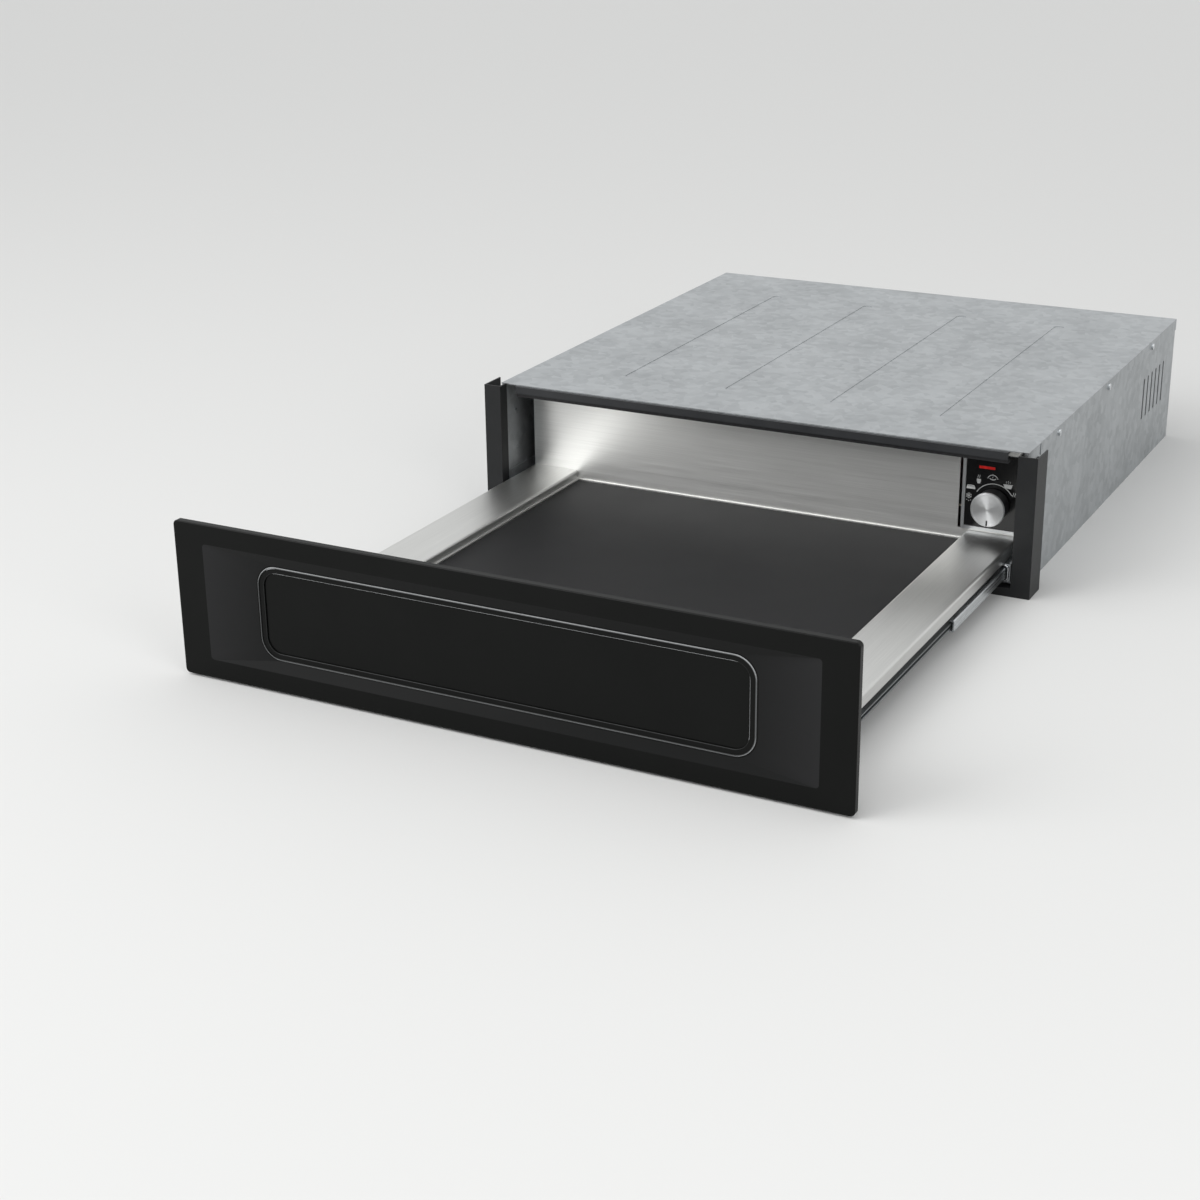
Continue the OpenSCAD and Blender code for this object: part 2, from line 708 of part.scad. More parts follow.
module glass_ledge() color("#b4b6ba") ride() {
    low = seal_bottom - ledge_t;
    in_x = pan_w/2 - pan_t;
    in_y = pan_t;
    difference() {
        union() {
            block([-in_x, tray_y + in_y, low], [in_x, wall_y - in_y, seal_bottom]);
            block([-in_x, tray_y + in_y, low - 4], [in_x, wall_y - in_y, low + eps]);
        }
        block([-in_x + ledge_w, tray_y + in_y + ledge_w, low - 5],
            [in_x - ledge_w, wall_y - in_y - ledge_w, glass_top]);
        block([-in_x + ledge_t, tray_y + in_y + ledge_t, low - 5],
            [in_x - ledge_t, wall_y - in_y - ledge_t, low]);
        // the skirt is notched over the two ends of the element
        for (s = [-1, 1]) translate([s*element_pitch*(element_runs - 1)/2, wall_y, low])
            block([-element_r - run_gap, -ledge_w, -5], [element_r + run_gap, 1, 0]);
    }
}

// ---------- heating ----------

element_len = tray_len - 130;
element_y0 = tray_y + 60;
element_end = wall_y - element_y0 - element_len + 3;
bulb_x = element_pitch*(element_runs - 1)/2 + element_r + 14;
bulb_z = reflector_z + reflector_t + 2.5;

module heating_element() color("#5a5654") ride() {
    bend = element_pitch/2;
    first = -(element_runs - 1)*element_pitch/2;
    for (k = [0:element_runs - 1]) translate([first + k*element_pitch, element_y0, element_z])
        rotate([-90, 0, 0]) cylinder(h = element_len, r = element_r, $fn = 24);
    // the two free ends run out through the back of the pan
    for (s = [-1, 1]) translate([s*first, element_y0 + element_len - eps, element_z]) rotate([-90, 0, 0]) {
        cylinder(h = element_end, r = element_r, $fn = 24);
        cylinder(h = element_end + 7, r = 1.5, $fn = 24);
    }
    for (k = [0:element_runs - 2]) {
        far = k % 2 == 1;
        translate([first + (k + 0.5)*element_pitch, far ? element_y0 + element_len : element_y0, element_z])
            rotate([0, 0, far ? 0 : 180]) rotate_extrude(angle = 180, $fn = 48)
                translate([bend, 0]) circle(element_r, $fn = 24);
    }
}

module reflector() color("#cfd1d4") ride() {
    half = pan_w/2 - 14;
    block([-half, tray_y + 8, reflector_z], [half, wall_y - 8, reflector_z + reflector_t]);
    // saddles that carry the runs of the element
    for (k = [0:element_runs - 1], y = [0.15, 0.5, 0.85])
        translate([(k - (element_runs - 1)/2)*element_pitch, element_y0 + y*element_len,
            reflector_z + reflector_t - eps]) difference() {
                block([-element_r - 1.5, -4, 0], [element_r + 1.5, 4, saddle_h + element_r*0.6]);
                translate([0, -5, element_z - reflector_z - reflector_t + eps]) rotate([-90, 0, 0])
                    cylinder(h = 10, r = element_r + shaft_gap, $fn = 24);
            }
}

module insulation() color("#d8d2b8") ride() {
    half = pan_w/2 - 10;
    block([-half, tray_y + 6, pan_z + pan_t], [half, wall_y - 6, reflector_z]);
}

module safety_cutout() color("#e6e2d6") ride() {
    x = element_pitch*(element_runs/2 - 1);
    translate([x, element_y0 + element_len + 35, reflector_z + reflector_t]) {
        cylinder(h = 4, r = 8);
        for (s = [-1, 1]) translate([s*6, 0, 4 - eps]) block([-2.4, -0.4, 0], [2.4, 0.4, 3]);
    }
}

// ---------- rear wall and compartment ----------

module rear_wall() color("#c3c5c8") ride() difference() {
    union() {
        block([-tray_w/2 + 0.5, wall_y, seal_bottom], [tray_w/2 - 0.5, cover_y, wall_top]);
        block([-tray_w/2 + 0.5, wall_y, wall_top - steel_t], [tray_w/2 - 0.5, cover_y + 6, wall_top]);
        // foot on the glass
        block([-flange_in + foot_w, wall_y - foot_w, glass_top],
            [flange_in - foot_w, wall_y + eps, glass_top + steel_t]);
    }
    block([panel_left, wall_y - 1, cutout_z], [tray_w, cover_y + eps, fascia_top + 1]);
    // notched at both ends, over the slides
    for (side = [-1, 1]) on_side(side)
        block([pan_w/2, wall_y - 1, 0], [tray_w, cover_y + 1, flange_top - flange_drop]);
}

module rear_cover() color("#aeb0b4") ride() difference() {
    top = wall_top - steel_t;
    block([cover_x0, cover_y, cover_z0], [cover_x1, cover_y + rear_depth, top]);
    block([cover_x0 + cover_t, cover_y - 1, cover_z0 + cover_t],
        [cover_x1 - cover_t, cover_y + rear_depth - cover_t, top - cover_t]);
    // air slots in the top and at the foot of the back
    for (k = [0:8]) translate([fan_x0 + 12 + k*24, 0, 0])
        block([-9, cover_y + 12, top - 2], [9, cover_y + 26, top + 1]);
    for (k = [0:7]) translate([-100 + k*24, 0, 0])
        block([-8, cover_y + rear_depth - 2, 24], [8, cover_y + rear_depth + 1, 30]);
}

module control_bracket() color("#aeb0b4") ride() difference() {
    block([panel_left + trim_w + 0.5, cover_y, cutout_z + 0.5],
        [cover_x1 - cover_t, cover_y + bracket_t, wall_top - steel_t - cover_t]);
    translate([knob_x, cover_y, knob_z]) rotate([90, 0, 0]) cylinder(h = 6, r = 5, center = true);
    block([lamp_x - lamp_w/2 - run_gap, cover_y - 1, lamp_z - lamp_h/2 - run_gap],
        [lamp_x + lamp_w/2 + run_gap, cover_y + bracket_t + 1, lamp_z + lamp_h/2 + run_gap]);
}

module control_fascia() color("#101113") ride() difference() {
    block([fascia_x0, wall_y, fascia_z0], [fascia_x1, cover_y, fascia_top]);
    translate([knob_x, wall_y, knob_z]) rotate([90, 0, 0])
        cylinder(h = 6, r = shaft_r + 0.5, center = true);
    block([lamp_x - lamp_w/2, wall_y - 1, lamp_z - lamp_h/2],
        [lamp_x + lamp_w/2, cover_y + 1, lamp_z + lamp_h/2]);
}

module fascia_trim() color("#d5d7d9") ride() {
    block([fascia_x0 - trim_w, wall_y - 1, cutout_z], [fascia_x0, cover_y, fascia_top]);
    block([fascia_x0 - trim_w, wall_y - 1, cutout_z], [fascia_x1, cover_y, fascia_z0]);
}

module pilot_lens() color("#b3201c") ride() {
    block([lamp_x - lamp_w/2, wall_y - 0.4, lamp_z - lamp_h/2],
        [lamp_x + lamp_w/2, cover_y + bracket_t, lamp_z + lamp_h/2]);
    block([lamp_x - lamp_w/2 - 2, cover_y + bracket_t, lamp_z - 5],
        [lamp_x + lamp_w/2 + 2, cover_y + bracket_t + 12, lamp_z + 5]);
}

module thermostat() color("#d9d6cc") ride() {
    base_y = cover_y + bracket_t;
    difference() {
        translate([knob_x, base_y, knob_z]) rotate([-90, 0, 0]) {
            cylinder(h = thermostat_len, r = thermostat_r);
            translate([0, 0, -bracket_t]) cylinder(h = bracket_t + eps, r = 4.8);
        }
        translate([knob_x, base_y - 4, knob_z]) rotate([-90, 0, 0])
            cylinder(h = 14, r = shaft_r + shaft_gap);
    }
    for (s = [-1, 1]) translate([knob_x + s*8, base_y + thermostat_len - eps, knob_z])
        block([-0.4, 0, -3.2], [0.4, 8, 3.2]);
    // bulb on the reflector, and the thin tube that joins it to the thermostat
    translate([bulb_x, element_y0 + 40, bulb_z]) rotate([-90, 0, 0]) {
        cylinder(h = 80, r = 2.5, $fn = 24);
        cylinder(h = tube_y - element_y0 - 40, r = 1, $fn = 24);
    }
    translate([bulb_x, tube_y, bulb_z]) {
        sphere(1, $fn = 24);
        cylinder(h = tube_z - bulb_z, r = 1, $fn = 24);
    }
    translate([bulb_x, tube_y, tube_z]) {
        sphere(1, $fn = 24);
        rotate([0, 90, 0]) cylinder(h = knob_x - bulb_x - thermostat_r + 4, r = 1, $fn = 24);
    }
}

module thermostat_shaft() color("#d5d7d9") ride() difference() {
    translate([knob_x, wall_y - 12, knob_z]) rotate([-90, 0, 0])
        cylinder(h = 12 + steel_t + bracket_t + 9, r = shaft_r);
    // flat that the knob is keyed to
    block([knob_x - 5, wall_y - 13, knob_z + shaft_r*0.55], [knob_x + 5, wall_y - 3, knob_z + 5]);
}

// profile of the knob in radius and distance from the fascia
module knob_barrel() color("#1d1e20") ride() difference() {
    translate([knob_x, wall_y, knob_z]) rotate([90, 0, 0]) rotate_extrude() polygon([
        [0, 1], [knob_r - 1.6, 1], [knob_r - 1, 1.6], [knob_r - 0.6, knob_reach - 3], [0, knob_reach - 3]]);
    translate([knob_x, wall_y - 12 - run_gap, knob_z]) rotate([-90, 0, 0]) intersection() {
        cylinder(h = 20, r = shaft_r + shaft_gap);
        block([-5, -shaft_r*0.55 - shaft_gap, 0], [5, 5, 20]);
    }
    translate([knob_x, wall_y - 3 - run_gap, knob_z]) rotate([-90, 0, 0])
        cylinder(h = 20, r = shaft_r + shaft_gap);
}

module knob_cap() color("#d5d7d9") ride() difference() {
    translate([knob_x, wall_y, knob_z]) rotate([90, 0, 0]) rotate_extrude(convexity = 4) polygon([
        [0, knob_reach - 3], [knob_r, knob_reach - 3], [knob_r, knob_reach - 0.6],
        [knob_r - 0.6, knob_reach], [knob_r - 1.6, knob_reach], [knob_r - 2, knob_reach - 0.35],
        [0, knob_reach - 0.35]]);
    // pointer notch, at six o'clock when off
    block([knob_x - 0.8, wall_y - knob_reach - 1, knob_z - knob_r - 1],
        [knob_x + 0.8, wall_y - knob_reach + 1.2, knob_z - knob_r + 6]);
}

// ---------- fan ----------

// blade of circular arc: a point at the given angle, "t" off its middle line
function blade_point(a, t) = [fan_r*0.867 + (fan_r*0.24 + t)*cos(a), (fan_r*0.24 + t)*sin(a) - fan_r*0.2];

module blade_outline() polygon(concat(
    [for (a = [62:9:125]) blade_point(a, 0.25)],
    [for (a = [125:-9:62]) blade_point(a, -0.25)]));

module fan_rotor() color("#8e9196") ride() translate([fan_x0, fan_y, fan_z]) rotate([90, 0, 90]) {
    linear_extrude(fan_len) for (k = [0:fan_blades - 1]) rotate(360*k/fan_blades) blade_outline();
    for (z = [0, fan_len/2 - 1, fan_len - 1.5]) translate([0, 0, z]) difference() {
        cylinder(h = 1.5, r = fan_r);
        if (z > 0 && z < fan_len - 2) translate([0, 0, -1]) cylinder(h = 4, r = fan_r*0.7);
    }
    shaft_end = fan_x0 - motor_x + motor_len/2 + 12;
    translate([0, 0, -shaft_end]) cylinder(h = shaft_end + eps, r = fan_shaft_r);
    translate([0, 0, fan_len - eps]) cylinder(h = 14, r = fan_shaft_r);
    translate([0, 0, motor_x - motor_len/2 - fan_x0]) cylinder(h = motor_len, r = rotor_core_r);
}

// spiral guide of the fan, open towards the air slots above it
function scroll_point(a, t) = let (r = fan_r + 1.2 + 1.1*a/260 + t) [r*cos(a + 130), r*sin(a + 130)];

module scroll_sheet() translate([fan_x0 + 2, fan_y, fan_z]) rotate([90, 0, 90])
    linear_extrude(fan_len - 4) polygon(concat(
        [for (a = [0:10:270]) scroll_point(a, 0)],
        [for (a = [270:-10:0]) scroll_point(a, 0.8)]));

module scroll_feet() for (x = [fan_x0 + 12, fan_x1 - 30])
    block([x, fan_y + fan_r + 1.8, fan_z - 5], [x + 18, cover_y + rear_depth - cover_t, fan_z + 5]);

module fan_scroll() color("#aeb0b4") ride() {
    scroll_sheet();
    scroll_feet();
}

module motor_stator() color("#6f6a64") ride() translate([motor_x, fan_y, fan_z]) difference() {
    block([-motor_len/2, -motor_w/2, -motor_h + motor_w/2], [motor_len/2, motor_w/2, motor_w/2]);
    translate([-motor_len, 0, 0]) rotate([0, 90, 0]) cylinder(h = 2*motor_len, r = rotor_core_r + run_gap);
    // two windows that leave the limb that the coil sits on
    for (s = [-1, 1]) translate([0, s*10, -motor_h + motor_w/2 + 8])
        block([-motor_len, -3, -4], [motor_len, 3, 4]);
}

module motor_coil() color("#b4552e") ride() translate([motor_x, fan_y, fan_z - motor_h + motor_w/2 + 8]) {
    away = motor_len/2 + 3.5;
    for (s = [-1, 1]) block([s*away - 3.5, -13, -4], [s*away + 3.5, 13, 4]);
}

// plates that carry the shaft on both sides of the motor and at the far end of the fan
module bearing_plates() color("#aeb0b4") ride() {
    back = cover_y + rear_depth - cover_t;
    foot = fan_z - plate_drop;
    for (x = [motor_x - motor_len/2 - stud_len - plate_t, motor_x + motor_len/2 + stud_len, fan_x1 + 6])
        difference() {
            union() {
                block([x, cover_y, foot], [x + plate_t, back, fan_z + 14]);
                block([x, back - 1.5, foot], [x + 12, back, foot + 14]);
            }
            translate([x - 1, fan_y, fan_z]) rotate([0, 90, 0])
                cylinder(h = plate_t + 2, r = fan_shaft_r + shaft_gap);
        }
    // studs that hold the stator between its two plates
    for (x = [-motor_len/2 - stud_len - eps, motor_len/2], y = [-14, 14], z = [-11, 12])
        translate([motor_x + x, fan_y + y, fan_z + z]) rotate([0, 90, 0])
            cylinder(h = stud_len + eps, r = 1.8, $fn = 24);
}

// ---------- latch and mains inlet ----------

module latch_body() color("#2a2b2e") difference() {
    half = latch_w/2;
    block([latch_x - half, latch_y, latch_z - half], [latch_x + half, back_y - shell_t, latch_z + half]);
    translate([latch_x, latch_y - 1, latch_z]) rotate([-90, 0, 0])
        cylinder(h = latch_len - 5, r = plunger_r + run_gap);
}

module latch_plunger() color("#c8c9cb") translate([latch_x, plunger_tip_y, latch_z]) rotate([-90, 0, 0]) {
    cylinder(h = 1.5, r = plunger_r - 1);
    translate([0, 0, 1.5 - eps]) cylinder(h = 28 + plunger_reach - plunger_travel - 5, r = plunger_r);
}

module terminal_block() color("#e9e6dc") difference() {
    block([latch_x - 15, back_y - shell_t - 22, inlet_z - 14],
        [latch_x + 15, back_y - shell_t, inlet_z + 14]);
    for (x = [-9, 0, 9]) translate([latch_x + x, back_y - shell_t - 23, inlet_z + 9]) rotate([-90, 0, 0])
        cylinder(h = 8, r = 2.2, $fn = 24);
    translate([latch_x, back_y - 14, inlet_z]) rotate([-90, 0, 0]) cylinder(h = 14, r = cord_hole_r + 1);
}

// gland through the back of the housing, for the mains cord
module cord_gland() color("#2a2b2e") translate([latch_x, back_y, inlet_z]) rotate([-90, 0, 0])
difference() {
    union() {
        translate([0, 0, -shell_t]) cylinder(h = shell_t + 1, r = 8);
        cylinder(h = 3, r = 11);
        cylinder(h = gland_out, r = 7);
    }
    translate([0, 0, -14]) cylinder(h = 14 + gland_out + 1, r = cord_hole_r);
}

module latch_striker() color("#2a2b2e") ride() translate([latch_x, cover_y, latch_z])
    rotate([-90, 0, 0]) cylinder(h = striker_len, r = plunger_r + 3);

housing_shell();
housing_lid();
housing_back();
left_upright();
right_upright();
top_rail();
top_seal();
bottom_rail();
slide_mounts();
slide_outer_left();
slide_outer_right();
slide_middle_left();
slide_middle_right();
slide_inner_left();
slide_inner_right();
outer_cage_left();
outer_cage_right();
inner_cage_left();
inner_cage_right();
outer_balls_left();
outer_balls_right();
inner_balls_left();
inner_balls_right();
slide_spacers();
front_panel();
front_carrier();
front_liner();
front_buffers();
drawer_pan();
left_flange();
right_flange();
glass_base();
glass_seal();
glass_ledge();
heating_element();
reflector();
insulation();
safety_cutout();
rear_wall();
rear_cover();
control_bracket();
control_fascia();
fascia_trim();
pilot_lens();
thermostat();
thermostat_shaft();
knob_barrel();
knob_cap();
fan_rotor();
fan_scroll();
motor_stator();
motor_coil();
bearing_plates();
latch_body();
latch_plunger();
latch_striker();
terminal_block();
cord_gland();
front_screws();
housing_screws();
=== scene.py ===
import math
import bmesh
import bpy
from mathutils import Matrix, Vector


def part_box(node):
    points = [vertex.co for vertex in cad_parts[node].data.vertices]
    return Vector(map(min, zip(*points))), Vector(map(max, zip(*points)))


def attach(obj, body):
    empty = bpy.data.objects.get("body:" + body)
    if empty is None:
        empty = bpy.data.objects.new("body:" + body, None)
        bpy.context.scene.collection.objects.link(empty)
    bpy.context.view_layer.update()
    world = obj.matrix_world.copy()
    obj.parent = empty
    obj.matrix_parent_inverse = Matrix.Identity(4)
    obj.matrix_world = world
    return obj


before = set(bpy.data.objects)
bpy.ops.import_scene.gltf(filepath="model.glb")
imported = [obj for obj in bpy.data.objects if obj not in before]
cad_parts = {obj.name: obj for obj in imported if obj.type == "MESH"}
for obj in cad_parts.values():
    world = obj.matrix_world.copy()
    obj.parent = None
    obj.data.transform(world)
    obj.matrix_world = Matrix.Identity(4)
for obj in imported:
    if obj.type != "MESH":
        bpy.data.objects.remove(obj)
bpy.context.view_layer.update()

# ---------------------------------------------------------------- housing sheets
# The case that stays in the niche: base, side walls, lid and back of galvanised
# steel sheet about 1 mm thick, folded and screwed. Hot-dip zinc gives it a dull
# grey with crystal flakes a few millimetres across.


def linear(hex_colour):
    """An sRGB hex colour as linear RGBA."""
    parts = [int(hex_colour[k:k + 2], 16) / 255 for k in (1, 3, 5)]
    return [c / 12.92 if c <= 0.04045 else ((c + 0.055) / 1.055) ** 2.4 for c in parts] + [1.0]


def add(tree, kind, links=None, ramp=None, **settings):
    """Adds a node: settings are its properties, links set its sockets or join them."""
    made = tree.nodes.new(kind)
    for key, value in settings.items():
        setattr(made, key, value)
    for key, value in (links or {}).items():
        socket = made.inputs[key]
        if isinstance(value, bpy.types.NodeSocket):
            tree.links.new(value, socket)
        else:
            socket.default_value = value
    if ramp:
        stops = made.color_ramp.elements
        while len(stops) < len(ramp):
            stops.new(0.5)
        for stop, (place, colour) in zip(stops, ramp):
            stop.position = place
            stop.color = colour if isinstance(colour, list) else (colour, colour, colour, 1)
    return made


def surface(name, **sockets):
    """A new material with one Principled shader, whose plain values are set on it."""
    material = bpy.data.materials.new(name)
    material.use_nodes = True
    tree = material.node_tree
    tree.nodes.clear()
    shader = add(tree, "ShaderNodeBsdfPrincipled", {k.replace("_", " "): v for k, v in sockets.items()})
    add(tree, "ShaderNodeOutputMaterial", {"Surface": shader.outputs[0]})
    return material, tree, shader


def feed(tree, shader, **sockets):
    """Joins node outputs to the shader's inputs of the same names."""
    for key, socket in sockets.items():
        tree.links.new(socket, shader.inputs[key.replace("_", " ")])


def finish_nodes(material, *names):
    """Gives CAD nodes a material."""
    for name in names:
        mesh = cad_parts[name].data
        mesh.materials.clear()
        mesh.materials.append(material)


galvanised, tree, shader = surface("galvanised_steel", Metallic=1.0)
place = add(tree, "ShaderNodeTexCoord").outputs["Object"]
# flakes of about 7 mm in clouds of 70 mm: a scale of s gives features of 1/s metres
flakes = add(tree, "ShaderNodeTexVoronoi", {"Vector": place, "Scale": 130.0})
cloud = add(tree, "ShaderNodeTexNoise", {"Vector": place, "Scale": 14.0, "Detail": 4.0})
tone = add(tree, "ShaderNodeSeparateColor", {0: flakes.outputs["Color"]})
mixed = add(tree, "ShaderNodeMath", {0: tone.outputs[0], 1: 0.4}, operation="MULTIPLY")
summed = add(tree, "ShaderNodeMath", {0: mixed.outputs[0], 1: cloud.outputs["Fac"]}, operation="ADD")
colour = add(tree, "ShaderNodeValToRGB", {0: summed.outputs[0]},
             ramp=[(0.25, linear("#9da0a2")), (0.95, linear("#b4b7b9"))])
# sockets 1 and 2 of a map range are the limits it reads, 3 and 4 those it gives
rough = add(tree, "ShaderNodeMapRange", {0: tone.outputs[1], 3: 0.5, 4: 0.6})
ripple = add(tree, "ShaderNodeBump", {"Height": cloud.outputs["Fac"], "Strength": 0.12, "Distance": 0.001})
feed(tree, shader, Base_Color=colour.outputs[0], Roughness=rough.outputs[0], Normal=ripple.outputs[0])
finish_nodes(galvanised, "housing_shell", "housing_lid", "housing_back", "slide_mounts", "drawer_pan",
             "glass_ledge", "control_bracket")

# ---------------------------------------------------------------- front frame
# Two folded uprights and a bottom rail close the gap round the drawer. They are
# steel with a dark grey powder coat, which leaves a fine orange peel and a satin gloss.

frame_coat, tree, shader = surface("powder_coat_dark_grey", Metallic=0.0, Specular_IOR_Level=0.25,
                                   Coat_Weight=0.06, Coat_Roughness=0.4)
place = add(tree, "ShaderNodeTexCoord").outputs["Object"]
# orange peel of about 1 mm and coat thickness that changes over centimetres
peel = add(tree, "ShaderNodeTexNoise", {"Vector": place, "Scale": 900.0, "Detail": 2.0})
cloud = add(tree, "ShaderNodeTexNoise", {"Vector": place, "Scale": 30.0, "Detail": 3.0})
colour = add(tree, "ShaderNodeValToRGB", {0: cloud.outputs["Fac"]},
             ramp=[(0.3, linear("#191a1b")), (0.7, linear("#1f2021"))])
rough = add(tree, "ShaderNodeMapRange", {0: cloud.outputs["Fac"], 3: 0.42, 4: 0.54})
bump = add(tree, "ShaderNodeBump", {"Height": peel.outputs["Fac"], "Strength": 0.18, "Distance": 0.0004})
feed(tree, shader, Base_Color=colour.outputs[0], Roughness=rough.outputs[0], Normal=bump.outputs[0])
finish_nodes(frame_coat, "left_upright", "right_upright", "bottom_rail")

# The top rail has the same coat, drawn a little lighter as painted light where the light meets it, as it
# looks in the photograph.
lit_rail_coat = frame_coat.copy()
lit_rail_coat.name = "powder_coat_painted_lit"
ramp_node = next(n for n in lit_rail_coat.node_tree.nodes if n.type == "VALTORGB")
for stop, tone in zip(ramp_node.color_ramp.elements, ("#2b2c2e", "#323335")):
    stop.color = linear(tone)
finish_nodes(lit_rail_coat, "top_rail")

# ---------------------------------------------------------------- seals and buffers
# Extruded silicone rubber: the strip under the top rail, the ring under the glass
# and the four closing buffers. Black, soft, with a faint dusty bloom.

silicone, tree, shader = surface("black_silicone", IOR=1.41, Roughness=0.62, Sheen_Weight=0.12,
                                 Sheen_Roughness=0.5)
place = add(tree, "ShaderNodeTexCoord").outputs["Object"]
# bloom in spots of 4 or 5 mm
bloom = add(tree, "ShaderNodeTexNoise", {"Vector": place, "Scale": 220.0, "Detail": 5.0})
colour = add(tree, "ShaderNodeValToRGB", {0: bloom.outputs["Fac"]},
             ramp=[(0.35, linear("#131315")), (0.75, linear("#232325"))])
bump = add(tree, "ShaderNodeBump", {"Height": bloom.outputs["Fac"], "Strength": 0.2, "Distance": 0.0003})
feed(tree, shader, Base_Color=colour.outputs[0], Normal=bump.outputs[0])
finish_nodes(silicone, "top_seal", "glass_seal", "front_buffers")

# ---------------------------------------------------------------- telescopic slides
# Rolled steel members with bright zinc plating, drawn through rollers that leave
# long faint lines. Balls of bearing steel run between them in pressed cages.


def drawn_steel(name, dark, light, low, high, along, spread_way=None):
    """Metal between two colours and two roughnesses, with fine lines along an axis.

    The axis is 0 for X or 1 for Y, and spread_way is the direction that smears the highlights.
    """
    material, tree, shader = surface(name, Metallic=1.0, Anisotropic=0.6 if spread_way else 0.0)
    if spread_way:
        way = add(tree, "ShaderNodeCombineXYZ", dict(enumerate(spread_way)))
        feed(tree, shader, Tangent=way.outputs[0])
    place = add(tree, "ShaderNodeTexCoord").outputs["Object"]
    # real lines are 0.05 to 0.2 mm apart; they are drawn about 0.5 mm apart so that they show
    fine = [2000.0, 2000.0, 2000.0]
    fine[along] = 14.0
    wide = [160.0, 160.0, 160.0]
    wide[along] = 1.2
    streaks = []
    for scale in (fine, wide):
        spread = add(tree, "ShaderNodeMapping", {"Vector": place, "Scale": scale})
        streaks.append(add(tree, "ShaderNodeTexNoise", {"Vector": spread.outputs[0], "Scale": 1.0,
                                                        "Detail": 3.0, "Roughness": 0.6}).outputs["Fac"])
    faint = add(tree, "ShaderNodeMath", {0: streaks[1], 1: 0.5}, operation="MULTIPLY")
    both = add(tree, "ShaderNodeMath", {0: streaks[0], 1: faint.outputs[0]}, operation="ADD")
    colour = add(tree, "ShaderNodeValToRGB", {0: both.outputs[0]}, ramp=[(0.45, dark), (1.0, light)])
    rough = add(tree, "ShaderNodeMapRange", {0: both.outputs[0], 1: 0.5, 2: 1.0, 3: low, 4: high})
    bump = add(tree, "ShaderNodeBump", {"Height": streaks[0], "Strength": 0.05, "Distance": 0.0002})
    feed(tree, shader, Base_Color=colour.outputs[0], Roughness=rough.outputs[0], Normal=bump.outputs[0])
    return material


bright_zinc = drawn_steel("bright_zinc_plating", linear("#b9bdc0"), linear("#d6d9db"), 0.22, 0.38, 1)
finish_nodes(bright_zinc, "slide_outer_left", "slide_outer_right", "slide_middle_left",
             "slide_middle_right")
# the inner members are drawn a duller, darker grey
dull_steel = drawn_steel("dull_grey_steel", linear("#7d8082"), linear("#939698"), 0.42, 0.56, 1)
finish_nodes(dull_steel, "slide_inner_left", "slide_inner_right")

pressed_steel = drawn_steel("pressed_steel", linear("#85888c"), linear("#a3a6a9"), 0.32, 0.5, 1)
finish_nodes(pressed_steel, "outer_cage_left", "outer_cage_right", "inner_cage_left", "inner_cage_right",
             "slide_spacers")

bearing_steel, tree, shader = surface("bearing_steel", Metallic=1.0)
place = add(tree, "ShaderNodeTexCoord").outputs["Object"]
# a film of grease in spots of 2 mm
film = add(tree, "ShaderNodeTexNoise", {"Vector": place, "Scale": 600.0, "Detail": 2.0})
colour = add(tree, "ShaderNodeValToRGB", {0: film.outputs["Fac"]},
             ramp=[(0.3, linear("#c6c8ca")), (0.7, linear("#e2e3e4"))])
rough = add(tree, "ShaderNodeMapRange", {0: film.outputs["Fac"], 3: 0.06, 4: 0.16})
feed(tree, shader, Base_Color=colour.outputs[0], Roughness=rough.outputs[0])
finish_nodes(bearing_steel, "outer_balls_left", "outer_balls_right", "inner_balls_left",
             "inner_balls_right")

# ---------------------------------------------------------------- spring clips of the slides
# A loop of bright spring wire, 1.6 mm thick, is hooked on the front end of each fixed
# member and keeps the moving ones from dropping out when the drawer is lifted off.

wire_r = 0.0008
bend = 0.003
# the ends reach into the channel, where their tips dip; the loop stands clear of the middle member
tail_in, tail_dip = 0.001, 0.0004
straight_in = 0.0025
clip_lift = 0.0002
mouth_low, mouth_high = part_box("slide_outer_right")
wire_y = mouth_low[1] - wire_r
middle_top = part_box("slide_middle_right")[1][2]
side_x = mouth_high[0] - wire_r
top_z = (middle_top + mouth_high[2]) / 2 + clip_lift
low_z = mouth_low[2] + mouth_high[2] - top_z


def corner(centre_x, centre_z, start):
    """Points of a quarter bend of the wire, in X and Z."""
    return [(centre_x + bend * math.cos(math.radians(start - 15 * k)),
             centre_z + bend * math.sin(math.radians(start - 15 * k))) for k in range(7)]


loop = ([(mouth_low[0] + tail_in, top_z - tail_dip), (mouth_low[0] + straight_in, top_z)]
        + corner(side_x - bend, top_z - bend, 90) + corner(side_x - bend, low_z + bend, 0)
        + [(mouth_low[0] + straight_in, low_z), (mouth_low[0] + tail_in, low_z + tail_dip)])


def new_piece(name, shape, material):
    """A bmesh as an object of the scene, with one material."""
    mesh = bpy.data.meshes.new(name)
    shape.to_mesh(mesh)
    mesh.materials.append(material)
    piece = bpy.data.objects.new(name, mesh)
    bpy.context.scene.collection.objects.link(piece)
    return piece


